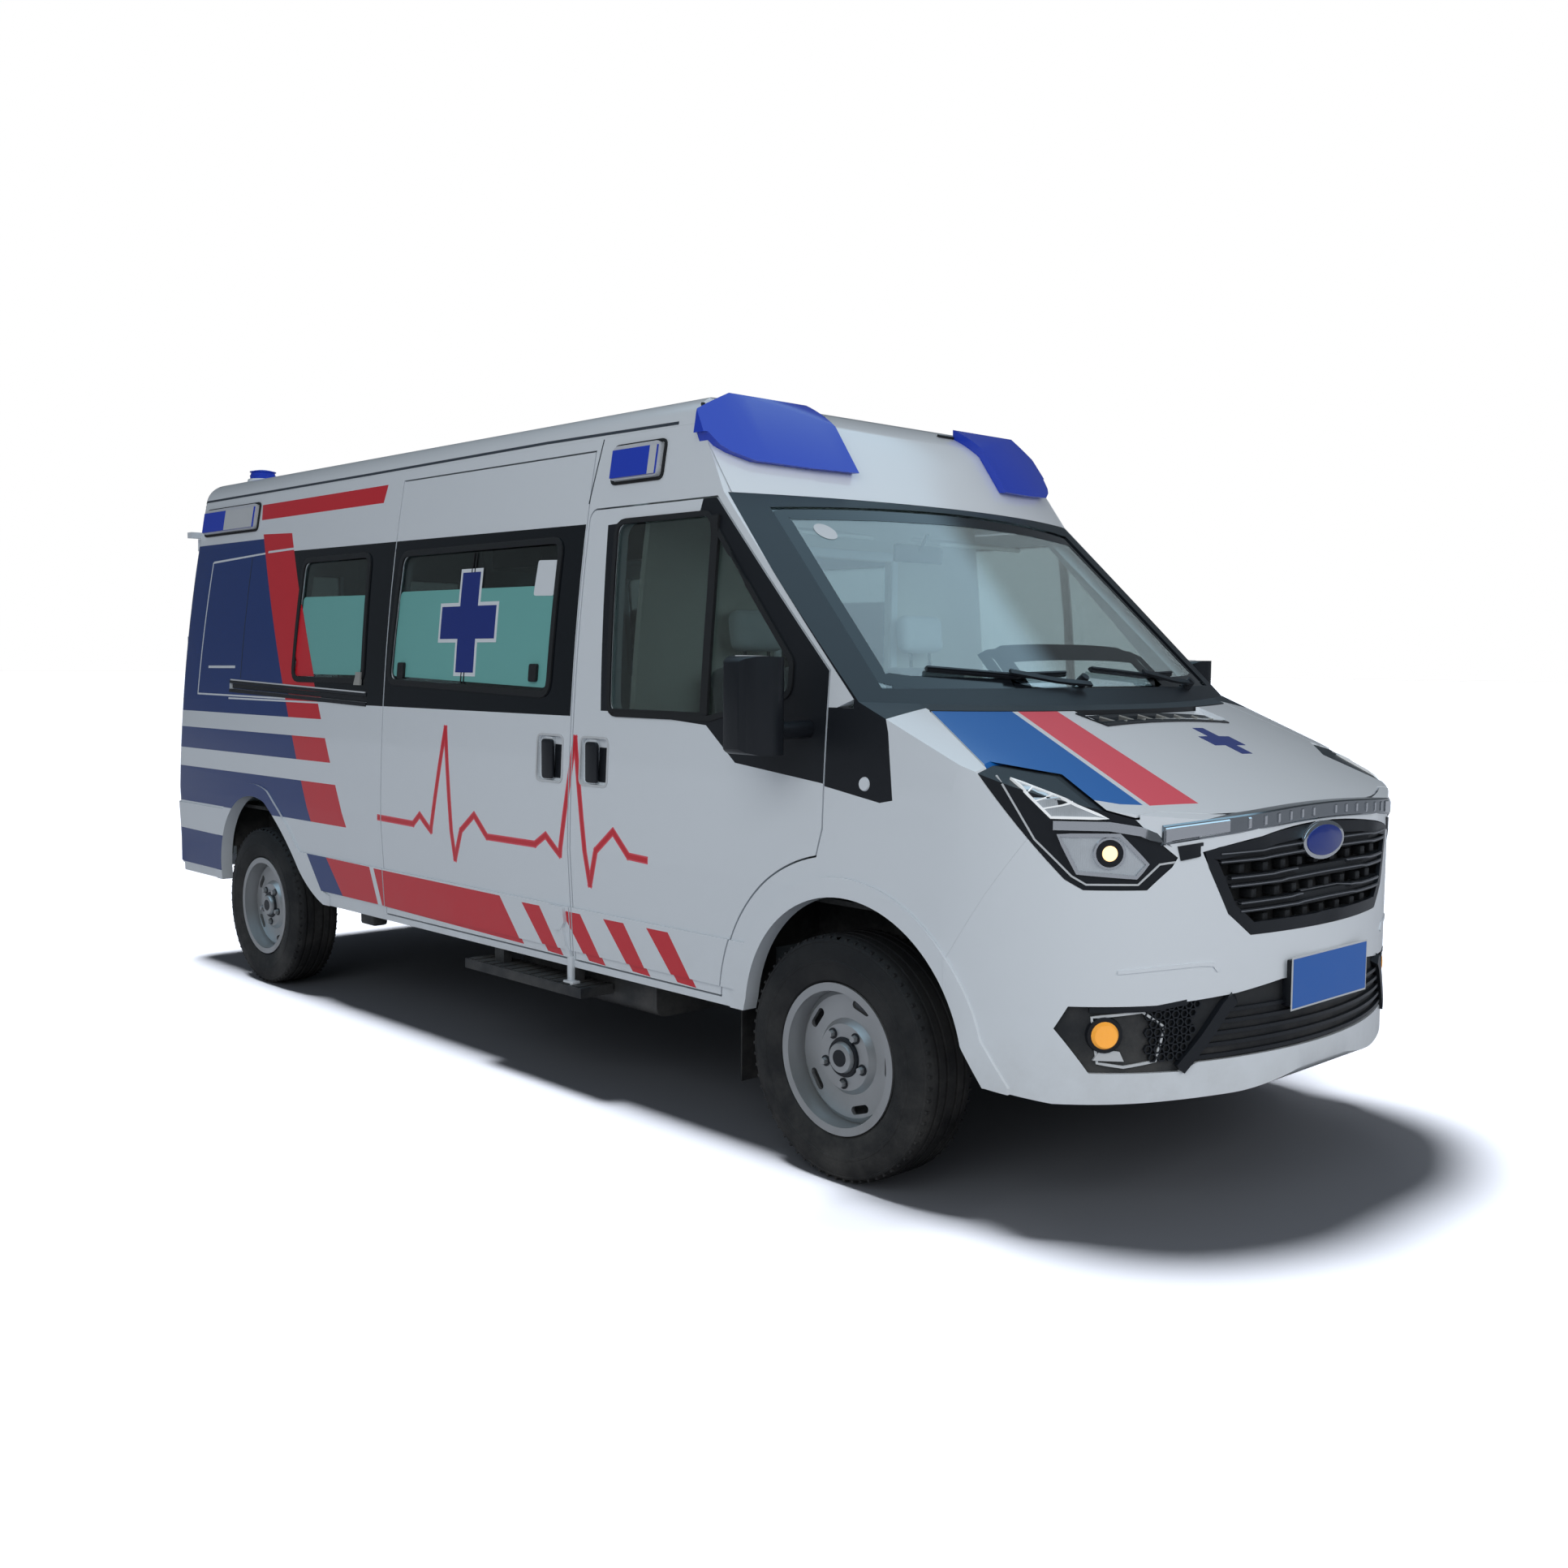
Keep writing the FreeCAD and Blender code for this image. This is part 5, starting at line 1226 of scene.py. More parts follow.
@dataclass
class SideDetails:
    """Handles, rail, seams, gutters and small fittings on the outside of the body."""

    slider_handle: float = 0.42
    door_handle: float = 0.68
    handle_foot: float = 1.092
    handle_size: Point2 = (0.15, 0.158)
    rail: tuple[Point2, ...] = ((-2.16, 1.382), (-0.835, 1.346))
    pads: int = 12
    pad_pitch: float = 0.06

    def handle(self, node: str, body: str, x: float, side: float) -> None:
        """A door handle's black tray, grip and pale frame.

        Args:
            node: The door's node.
            body: The body it rides on.
            x: Rear edge of its recess.
            side: 1 for the left and -1 for the right.
        """
        kit = Kit.beside(Skin(node), side)
        wide, high = self.handle_size
        foot, top = self.handle_foot, self.handle_foot + high
        frame = rectangle(x - 0.003, foot - 0.003, x + wide + 0.003, top + 0.003)
        kit.line(1, rounded(frame, 0.024), 0.008, 0.003, 0.0, True)
        for x0, x1 in ((x + 0.012, x + 0.042), (x + 0.088, x + wide - 0.012)):
            kit.plate(0, rectangle(x0, foot + 0.01, x1, top - 0.03), 0.0015, 0.001)
        grip = rounded(rectangle(x + 0.032, foot + 0.006, x + 0.098, top - 0.012), 0.016)
        y = kit.hit((x + 0.065, foot + high / 2)).y + side * 0.007
        kit.add(0, slab([(px, y, pz) for px, pz in grip], (0, -side * 0.012, 0), 0.003))
        kit.into("handle_" + node, body, [SATIN_BLACK, PALE], "black_plastic")

    def rail_insert(self, skin: Skin) -> None:
        """The sliding door's rail, with black lips and a pale upper edge."""
        kit = Kit.beside(skin, -1.0)
        (x0, z0), (x1, z1) = self.rail
        kit.line(0, self.rail, 0.02, 0.006, 0.001)
        for rise, width in ((0.02, 0.013), (-0.021, 0.016)):
            kit.line(0, [(x0, z0 + rise), (x1, z1 + rise)], width, 0.003)
        kit.line(1, [(x0 + 0.01, z0 + 0.029), (x1 - 0.01, z1 + 0.029)], 0.006, 0.004)
        kit.into("slide_rail", "shell", [SATIN_BLACK, PALE], "black_plastic")

    def seams(self, skin: Skin, side: float, name: str) -> None:
        """Panel seams, gutter and trim caps of one side."""
        kit = Kit.beside(skin, side)
        kit.line(0, [(-2.03, 1.985), (-2.048, 1.42)], 0.005, 0.0008)
        kit.line(0, [(0.612, 2.065), (0.65, 2.275)], 0.005, 0.0008)
        kit.line(0, [(-2.735, 2.288), (-1.0, 2.291), (0.3, 2.297), (1.05, 2.29)], 0.01, 0.0015)
        kit.line(1, [(-2.415, 1.47), (-2.115, 1.472)], 0.012, 0.0008)
        kit.knob(1, (2.024, 1.174), 0.021, 0.004, 0.018)
        kit.into("side_seams_" + name, "shell", [SEAM, WHITE], "body_paint")

    def fittings(self, skin: Skin) -> None:
        """The white step bracket, the step's pads and the block ahead of the rear wheel."""
        kit = Kit.beside(skin, -1.0)
        head = [(0.5, 0.655), (0.592, 0.655), (0.598, 0.6), (0.572, 0.57), (0.54, 0.57)]
        kit.plate(0, rounded(head, 0.01), 0.014, 0.014)
        kit.line(0, [(0.566, 0.61), (0.588, 0.52), (0.606, 0.47)], 0.018, 0.012)
        y = kit.hit((0.606, 0.475)).y
        kit.add(0, block((0.592, y - 0.012, 0.388), (0.62, y + 0.004, 0.48), 0.003),
                block((0.592, y - 0.03, 0.38), (0.65, y + 0.004, 0.396), 0.003))
        kit.add(1, block((-0.985, -0.93, 0.385), (-0.87, -0.86, 0.458), 0.012))
        kit.into("step_bracket", "shell", [WHITE, BLACK], "body_paint")
        pads = Kit()
        for k in range(self.pads):
            x = k * self.pad_pitch
            pads.add(0, block((-0.005 + x, -1.002, 0.3852), (0.035 + x, -0.88, 0.3885), 0.001, 1))
        pads.into("step_pad", "shell", [RUBBER], "underbody")

    def build(self) -> None:
        """Makes every fitting."""
        self.handle("sliding_door", "shell", self.slider_handle, -1.0)
        for side, name in SIDES:
            self.handle("front_door_" + name, "front_door_" + name, self.door_handle, side)
        right = Skin("side_panel_right", "sliding_door", "front_wings", "roof")
        left = Skin("side_panel_left", "front_wings", "roof")
        self.rail_insert(right)
        self.seams(right, -1.0, "right")
        self.seams(left, 1.0, "left")
        self.fittings(right)


@dataclass
class Headlamps:
    """Reflectors, borders and bulbs on the dark lamp units."""

    upper: tuple[Point3, ...] = ((2.452, -0.87, 1.206), (2.591, -0.871, 1.118), (2.694, -0.768, 1.116))
    lower: tuple[Point3, ...] = ((2.607, -0.86, 1.072), (2.717, -0.747, 1.073), (2.76, -0.682, 0.996),
                                 (2.744, -0.708, 0.962), (2.645, -0.827, 0.975))
    bulb: Point3 = (2.702, -0.768, 1.026)
    bulb_rings: tuple[tuple[int, float, float, float], ...] = (
        (2, 0.046, 0.008, 0.042), (5, 0.038, 0.01, 0.036), (4, 0.027, 0.014, 0.018))
    ribs: tuple[float, ...] = (0.22, 0.42, 0.62)
    divider: tuple[Point3, ...] = ((2.6, -0.872, 1.098), (2.7, -0.768, 1.096), (2.752, -0.7, 1.082),
                                   (2.792, -0.622, 1.046), (2.815, -0.56, 1.036))
    edge: tuple[Point3, ...] = ((2.428, -0.9, 1.216), (2.548, -0.885, 1.058), (2.636, -0.838, 0.966),
                                (2.664, -0.812, 0.944), (2.746, -0.7, 0.942), (2.776, -0.648, 0.994),
                                (2.808, -0.572, 1.002))
    aim: Point3 = (1.0, -1.0, 0.15)

    def build(self) -> None:
        """Makes the lamp on the right and its mirror image."""
        kit = Kit(Skin("headlamps"), self.aim)
        kit.plate(0, self.upper, 0.005, 0.004)
        kit.plate(0, self.lower, 0.004, 0.003)
        kit.line(1, self.upper, 0.007, 0.007, 0.0, True)
        kit.line(2, self.lower, 0.01, 0.008, 0.0, True)
        kit.line(2, self.divider, 0.024, 0.008)
        kit.line(3, self.edge, 0.005, 0.003)
        for number, radius, height, top in self.bulb_rings:
            kit.knob(number, self.bulb, radius, height, top)
        for t in self.ribs:
            start = Vector(self.upper[0]).lerp(Vector(self.upper[2]), t)
            end = Vector(self.upper[0]).lerp(Vector(self.upper[1]), t + 0.15)
            kit.line(1, [start, end], 0.004, 0.007)
        Piece("headlamp_units", "shell", [REFLECTOR, LIGHT_LINE, CHROME, PALE, WARM, SATIN_BLACK],
              "lamp_glass", 35.0).place(both_sides(kit.whole()))


@dataclass
class Nose:
    """Grille, chrome bar, badge plate, number plate, intake and fog lamps."""

    start_x: float = 2.85
    bar_end: float = 0.645
    bar_top: Point2 = (1.129, 0.078)
    bar_foot: Point2 = (1.083, 0.095)
    edge_step: float = 0.05
    edge_points: int = 15
    grille: tuple[Point2, ...] = ((-0.35, 0.806), (0.35, 0.806), (0.424, 0.862), (0.502, 1.012),
                                  (0.25, 1.044), (0.0, 1.056), (-0.25, 1.044), (-0.502, 1.012),
                                  (-0.424, 0.862))
    slats: tuple[float, ...] = (0.866, 0.936, 1.003)
    stud_rows: tuple[float, ...] = (0.831, 0.901, 0.971)
    stud_pitch: float = 0.094
    badge: Point2 = (0.0, 1.022)
    plate_low: Point2 = (-0.22, 0.565)
    plate_high: Point2 = (0.22, 0.715)
    fog: Point2 = (-0.758, 0.545)
    fog_frame: tuple[Point2, ...] = ((-0.806, 0.592), (-0.64, 0.604), (-0.56, 0.56), (-0.59, 0.47),
                                     (-0.7, 0.458), (-0.786, 0.47))
    fog_aim: Point3 = (1.0, -0.7, 0.0)

    def ahead_of(self, *names: str) -> Kit:
        """A kit whose drawings are laid on the front of some nodes."""
        return Kit(Skin(*names), FORWARD, self.start_x)

    def grille_parts(self) -> None:
        """The grille's frame, doubled slats with a painted highlight along each, studs and dark back."""
        kit = self.ahead_of("grille")
        kit.line(0, self.grille, 0.034, 0.012, 0.0, True)
        for z in self.slats:
            half = 0.36 + (z - 0.8) * 0.52
            for rise in (0.011, -0.011):
                path = [(y * half, z + rise + 0.006 * (1 - y * y)) for y in (-1.0, -0.5, 0.0, 0.5, 1.0)]
                kit.line(0, path, 0.01, 0.013)
                # A thin lighter grey line along the slat: a painted highlight of its edge.
                kit.line(2, path, 0.003, 0.0145)
        kit.add(1, self.grille_back(kit))
        for row, z in enumerate(self.stud_rows):
            for k in range(-4 - row % 2, 5):
                y = (k + 0.5 * (row % 2)) * self.stud_pitch
                if abs(y) > 0.33 + (z - 0.8) * 0.45:
                    continue
                x = kit.hit((y, self.slats[row])).x
                kit.add(3, block((x - 0.044, y - 0.014, z - 0.016), (x - 0.006, y + 0.014, z + 0.01), 0.004))
        kit.into("grille_slats", "shell", [SATIN_BLACK, LINER, SLAT_HIGHLIGHT, BLACK], "black_plastic", 30.0)

    @staticmethod
    def grille_back(kit: Kit) -> Shape:
        """A dark sheet that follows the grille's bow a little behind it."""
        rows = (0.8, 0.866, 0.936, 1.006, 1.045)
        reach = 0.34
        back = bmesh.new()
        bmesh.ops.create_grid(back, x_segments=14, y_segments=6, size=1.0)
        for vert in back.verts:
            y, z = vert.co.x * 0.46, 0.928 + vert.co.y * 0.12
            row = min(rows, key=lambda r: abs(r - z))
            hit = kit.hit((min(reach, max(-reach, y)), row))
            bow = 0.14 * max(0.0, abs(y) - reach)
            vert.co = Vector((hit.x - 0.042 - bow, y, z))
        thicken(back, Vector((-0.003, 0, 0)))
        return back

    def bow(self, kit: Kit) -> Callable[[float], float]:
        """A smooth front edge, seen from above, that stays clear of the nose.


        Returns:
            The X of the edge at each Y.
        """
        last = self.edge_points - 1
        front = [max(kit.hit((k * self.edge_step, z)).x for z in (1.065, 1.09, 1.11))
                 for k in range(self.edge_points)]
        for k in range(last - 1, -1, -1):
            front[k] = max(front[k], front[k + 1])
        for _ in range(2):
            front = [(front[max(k - 1, 0)] + front[k] + front[min(k + 1, last)]) / 3
                     for k in range(self.edge_points)]

        def edge(y: float) -> float:
            """X of the edge at a distance from the middle."""
            place = min(abs(y) / self.edge_step, last - 0.01)
            k = int(place)
            return front[k] + (front[k + 1] - front[k]) * (place - k) + 0.006

        return edge

    def strip(self, edge: Callable[[float], float], start: float, end: float, proud: float,
              inset: float) -> Shape:
        """A length of the bar between two distances from the middle.

        Args:
            edge: The bar's front edge.
            start: Y of one end.
            end: Y of the other end.
            proud: How far its face stands in front of the edge.
            inset: How much lower than the bar it is at the top and at the foot.

        Returns:
            The strip's shape.
        """
        rings = []
        count = max(2, round(abs(end - start) / 0.04))
        for k in range(count + 1):
            y = start + (end - start) * k / count
            top = self.bar_top[0] - self.bar_top[1] * y * y - inset
            foot = self.bar_foot[0] - self.bar_foot[1] * y * y + inset
            x = edge(y) + proud
            rings.append([(x - 0.045, y, top), (x - 0.004, y, top), (x, y, top - 0.004),
                          (x, y, foot + 0.004), (x - 0.004, y, foot), (x - 0.045, y, foot)])
        return loft(rings)

    def bar(self) -> None:
        """The bright bar over the grille, its teeth and the bare badge."""
        kit = self.ahead_of("front_bumper", "grille", "headlamps", "bonnet")
        edge = self.bow(kit)
        kit.add(0, self.strip(edge, -self.bar_end, self.bar_end, 0.0, 0.0))
        for side, _ in SIDES:
            kit.add(1, self.strip(edge, side * 0.45, side * (self.bar_end - 0.004), 0.003, 0.006))
            link = ((0.6, 1.04), (0.528, 1.048), (0.512, 1.014), (0.59, 1.002))
            kit.plate(2, [(side * y, z) for y, z in link], 0.004, 0.005)
        for k in range(-6, 7):
            if k:
                kit.add(1, self.strip(edge, k * 0.064, k * 0.064 + 0.01, 0.003, 0.008))
        for wide, high, proud, number in ((0.118, 0.055, 0.006, 1), (0.102, 0.044, 0.009, 3)):
            face = [(edge(0.0) + proud, y, z) for y, z in oval(self.badge, wide, high)]
            kit.add(number, slab(face, (-0.03, 0, 0), 0.002))
        kit.into("nose_bar", "shell", [DARK_CHROME, CHROME, SATIN_BLACK, NAVY], "bare_steel", 30.0)

    def number_plate(self) -> None:
        """The blank blue number plate on its black holder."""
        kit = self.ahead_of("front_bumper")
        y0, z0 = self.plate_low
        y1, z1 = self.plate_high
        x = max(kit.hit(point).x for point in ((0.0, z0), (0.0, z1), (y0, z1), (y1, z1), (0.0, 0.64)))
        kit.add(0, block((x - 0.03, y0 + 0.01, z0 + 0.01), (x + 0.004, y1 - 0.01, z1 - 0.01), 0.003))
        kit.add(1, block((x + 0.004, y0, z0), (x + 0.0065, y1, z1), 0.001, 1))
        kit.add(2, block((x + 0.0065, y0 + 0.006, z0 + 0.006), (x + 0.0072, y1 - 0.006, z1 - 0.006)))
        kit.into("number_plate_blank", "shell", [SATIN_BLACK, PALE, PLATE_BLUE], "black_plastic", 30.0)

    def honeycomb(self, kit: Kit) -> None:
        """Six-sided cells between the fog lamp and the lower intake."""
        kit.look(self.fog_aim, 2.78)
        row = 0
        z = 0.48
        while z < 0.63:
            y = -0.69 + 0.016 * (row % 2)
            while y < -0.44:
                right = -0.548 + (z - 0.47) * 0.64
                if -0.682 < y < right - 0.014:
                    turns = (math.tau * k / 6 for k in range(6))
                    cell = [(y + 0.013 * math.cos(a), z + 0.011 * math.sin(a)) for a in turns]
                    kit.line(0, cell, 0.0045, 0.01, 0.0, True)
                y += 0.032
            row += 1
            z += 0.0225

    def intake(self) -> None:
        """Fog lamps, honeycombs and dark bars of the lower intake."""
        bars = self.ahead_of("bumper_inserts")
        half = Kit(bars.skin, self.fog_aim, 2.7)
        half.line(1, self.fog_frame, 0.007, 0.006, 0.001, True)
        half.look((1.0, -0.45, 0.0), 2.69)
        half.knob(0, self.fog, 0.05, 0.012, 0.047)
        half.knob(2, self.fog, 0.043, 0.026, 0.03)
        half.look(self.fog_aim, 2.7)
        half.plate(1, [(-0.8, 0.478), (-0.7, 0.474), (-0.715, 0.5), (-0.775, 0.508)], 0.009, 0.008)
        half.look(FORWARD, 2.82)
        half.line(0, [(-0.385, 0.64), (-0.44, 0.6), (-0.505, 0.52), (-0.575, 0.445)], 0.034, 0.02)
        half.look(self.fog_aim, 2.75)
        half.line(0, [(-0.85, 0.612), (-0.64, 0.612), (-0.4, 0.634)], 0.014, 0.012)
        self.honeycomb(half)
        bars.parts.append(both_sides(half.whole()))
        for z, reach in ((0.47, 0.545), (0.5, 0.52), (0.53, 0.5), (0.56, 0.47), (0.59, 0.44)):
            bars.line(0, [(y * reach, z) for y in (-1.0, -0.6, -0.2, 0.2, 0.6, 1.0)], 0.01, 0.012)
        bars.into("intake_parts", "shell", [SATIN_BLACK, PALE, AMBER], "black_plastic", 35.0)

    def folds(self) -> None:
        """The short raised folds over the fog lamps."""
        kit = Kit(Skin("front_bumper"), self.fog_aim, 2.8)
        path = [(-0.8, 0.712), (-0.66, 0.719), (-0.5, 0.722), (-0.452, 0.718), (-0.432, 0.7)]
        kit.line(0, path, 0.01, 0.004, -0.001)
        Piece("bumper_folds", "shell", [WHITE], "body_paint", 60.0).place(both_sides(kit.whole()))

    def build(self) -> None:
        """Makes every piece of the nose."""
        self.grille_parts()
        self.bar()
        self.number_plate()
        self.intake()
        self.folds()


@dataclass
class BonnetDetails:
    """Vent cells and the plain cross on the bonnet."""

    cross_at: Point2 = (2.458, 0.18)
    reach: float = 0.088
    arm: float = 0.03
    vent: tuple[Point2, ...] = ((2.24, -0.29), (2.24, 0.43), (2.318, 0.455), (2.33, -0.25))
    cells: int = 7

    def build(self) -> None:
        """Makes the vents and the cross."""
        kit = Kit(Skin("bonnet"), UP)
        arms = cross(self.cross_at, self.reach, self.arm)
        kit.plate(0, [(x, y, 1.3) for x, y in arms], 0.0012, 0.001, 0.02)
        kit.plate(1, [(x, y, 1.3) for x, y in self.vent], 0.004, 0.004)
        (ax, ay), (bx, by), (cx, cy), (dx, dy) = self.vent
        for k in range(1, self.cells):
            t = k / self.cells
            start = (ax + (bx - ax) * t + 0.014, ay + (by - ay) * t, 1.35)
            end = (dx + (cx - dx) * (t + 0.03) - 0.014, dy + (cy - dy) * (t + 0.03), 1.33)
            kit.line(2, [start, end], 0.005, 0.007)
        kit.into("bonnet_details", "bonnet", [NAVY, DARK_GLOSS, GREY], "body_paint")


@dataclass
class RoofLamps:
    """Roof pods, side beacons and rear beacons with their housings."""

    front: tuple[float, float] = (0.745, 0.985)
    rear: tuple[float, float] = (-2.587, -2.03)
    low: float = 2.13
    high: float = 2.225
    clear_ends: tuple[tuple[float, float], ...] = ((-2.34, -2.0), (0.948, 1.02))
    dome: Point2 = (-2.545, 0.6)
    dome_sides: int = 40

    def side_beacons(self) -> None:
        """Lenses, clear ends, pale housings and gaskets on both sides."""
        bm = node_shape("side_beacons")
        for side, _ in SIDES:
            for x0, x1 in self.clear_ends:
                Stripe(PALE, ((x0, 2.1), (x1, 2.1), (x1, 2.26), (x0, 2.26))).lay(bm, 1, side)
        Piece("beacon_lenses", "shell", [BLUE_LENS, PALE], "blue_lens", 30.0, ("side_beacons",)).place(bm)
        for side, name in SIDES:
            kit = Kit.beside(Skin("roof", "side_panel_" + name), side)
            for x0, x1 in (self.front, self.rear):
                for grow, width, height, number in ((0.004, 0.014, 0.02, 0), (0.016, 0.01, 0.006, 1)):
                    frame = rectangle(x0 - grow, self.low - grow, x1 + grow, self.high + grow)
                    kit.line(number, rounded(frame, 0.02), width, height, 0.0, True)
            kit.into("beacon_housings_" + name, "shell", [PALE, RUBBER], "grey_plastic", 35.0)

    def domes(self) -> None:
        """Ribbed blue domes on white bases at the rear of the roof."""
        low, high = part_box("roof_beacons")
        foot = low[2] + 0.004
        top = high[2]
        profile = [(0.062, foot + 0.024), (0.062, top - 0.034), (0.057, top - 0.014), (0.045, top - 0.004),
                   (0.024, top), (0.0005, top)]
        turns = [math.tau * k / self.dome_sides for k in range(self.dome_sides)]
        kit = Kit()
        for side, _ in SIDES:
            x, y = self.dome[0], self.dome[1] * side
            kit.add(1, disc((x, y, foot), 0.078, 0.026, UP, 48, 0.072, 0.004))
            kit.add(0, loft([[(x + r * math.cos(a), y + r * math.sin(a), z) for a in turns]
                             for r, z in profile]))
            for z in (foot + 0.04, foot + 0.06):
                kit.add(0, disc((x, y, z), 0.0635, 0.004, UP, self.dome_sides))
        kit.into("rear_domes", "shell", [BLUE_LENS, WHITE], "blue_lens", 35.0, ("roof_beacons",))

    def pods(self) -> None:
        """The front pods, with dark gaskets at their front edges."""
        bm = node_shape("roof_light_pods")
        Piece("roof_pods", "shell", [BLUE_LENS], "blue_lens", 45.0, ("roof_light_pods",)).place(bm)
        edge = [(1.168, -0.3), (1.165, -0.56), (1.163, -0.78), (1.18, -0.86)]
        for side, name in SIDES:
            kit = Kit(Skin("roof"), UP)
            kit.line(0, [(x, y * -side, 2.4) for x, y in edge], 0.012, 0.008)
            kit.into("pod_gasket_" + name, "shell", [RUBBER], "black_rubber")

    def build(self) -> None:
        """Makes all the roof lamps."""
        self.side_beacons()
        self.domes()
        self.pods()


@dataclass
class Wheels:
    """Tyres with ribbed treads, and the nuts and caps of the wheels."""

    half_track: float = 0.87
    radius: float = 0.363
    axles: tuple[tuple[str, float], ...] = (("front", 1.91), ("rear", -1.84))
    wall: tuple[Point2, ...] = (
        (0.2245, 0.086), (0.232, 0.0955), (0.252, 0.1035), (0.2745, 0.1072), (0.283, 0.1076),
        (0.285, 0.109), (0.292, 0.109), (0.294, 0.1074), (0.315, 0.1052), (0.334, 0.0985),
        (0.342, 0.0955), (0.344, 0.0968), (0.35, 0.0938), (0.356, 0.085), (0.36, 0.0775),
        (0.362, 0.0715))
    tread: tuple[Point2, ...] = (
        (0.3625, 0.06), (0.355, 0.058), (0.355, 0.051), (0.3628, 0.049), (0.363, 0.027),
        (0.355, 0.025), (0.355, 0.0175), (0.363, 0.0155))
    face: float = 0.06
    nut_circle: float = 0.078
    nuts: int = 5
    lugs: int = 66

    def tyre(self, centre: Point3) -> Shape:
        """One treaded tyre."""
        outer = list(self.wall) + list(self.tread)
        profile = outer + [(r, -y) for r, y in outer[::-1]] + [(0.218, -0.084), (0.218, 0.084)]
        parts = [spun(profile, (0, 0, 0), 72)]
        for side, _ in SIDES:
            y0, y1 = sorted((side * 0.073, side * 0.0915))
            lug = block((-0.0042, y0, 0.348), (0.0042, y1, 0.359))
            geom = lug.verts[:] + lug.edges[:] + lug.faces[:]
            bmesh.ops.spin(lug, geom=geom, cent=(0, 0, 0), axis=(0, 1, 0), angle=math.tau, steps=self.lugs,
                           use_duplicate=True)
            parts.append(lug)
        bm = joined(parts)
        bmesh.ops.translate(bm, vec=centre, verts=bm.verts)
        return bm

    def hub(self, centre: Point3, side: float) -> Shape:
        """Nuts, washers, cap and valve on the outer face of a wheel."""
        x, y, z = centre
        face = y + side * self.face
        axis = (0, side, 0)
        kit = Kit()
        kit.add(1, disc((x, face, z), 0.06, 0.007, axis, 40, 0.057))
        kit.add(0, disc((x, face, z), 0.049, 0.02, axis, 40, 0.043, 0.002))
        kit.add(1, disc((x, face, z), 0.026, 0.022, axis, 32, 0.025))
        for k in range(self.nuts):
            angle = math.tau * (k + 0.5) / self.nuts + math.pi / 2
            nut = (x + self.nut_circle * math.cos(angle), face, z + self.nut_circle * math.sin(angle))
            kit.add(1, disc(nut, 0.0165, 0.0025, axis, 24))
            kit.add(0, disc(nut, 0.0112, 0.017, axis, 6, 0.01))
        kit.add(1, disc((x + 0.185, y + side * 0.045, z + 0.04), 0.0042, 0.032, axis, 10))
        return kit.whole()

    def build(self) -> None:
        """Makes the four wheels' tyres and hubs."""
        for end, x in self.axles:
            for side, name in SIDES:
                corner = end + "_" + name
                centre = (x, side * self.half_track, self.radius)
                Piece("treaded_tyre_" + corner, "wheel_" + corner, [TYRE], "tyre_rubber", 28.0,
                      ("tyre_" + corner,)).place(self.tyre(centre))
                Piece("hub_" + corner, "wheel_" + corner, [STEEL, SATIN_BLACK], "wheel_steel", 30.0).place(
                    self.hub(centre, side))


@dataclass
class Mirrors:
    """Housings with rounded edges, glasses and the pale caps on top."""

    rear: float = 1.68
    inner: float = 1.078
    outer: float = 1.198
    glasses: tuple[Point2, ...] = ((1.345, 1.515), (1.268, 1.333))

    def build(self) -> None:
        """Makes both mirrors."""
        for side, name in SIDES:
            node = "mirror_" + name
            body = "front_door_" + name
            bm = node_shape(node)
            soften(bm, 0.006, 2, 40.0)
            Piece(node + "_housing", body, [SATIN_BLACK], "black_plastic", 45.0, (node,)).place(bm)
            kit = Kit(Skin(node), UP)
            for low, high in self.glasses:
                outline = rounded([(self.inner, low), (self.outer, low), (self.outer, high),
                                   (self.inner, high)], 0.02)
                kit.add(0, slab([(self.rear - 0.0005, y * side, z) for y, z in outline], (-0.003, 0, 0)))
            top = rounded([(1.698, 1.098), (1.765, 1.102), (1.765, 1.145), (1.698, 1.185)], 0.01)
            kit.plate(1, [(x, y * side, 1.54) for x, y in top], 0.0025, 0.003)
            kit.into(node + "_glasses", body, [MIRROR_GLASS, PALE], "lamp_glass", 30.0)


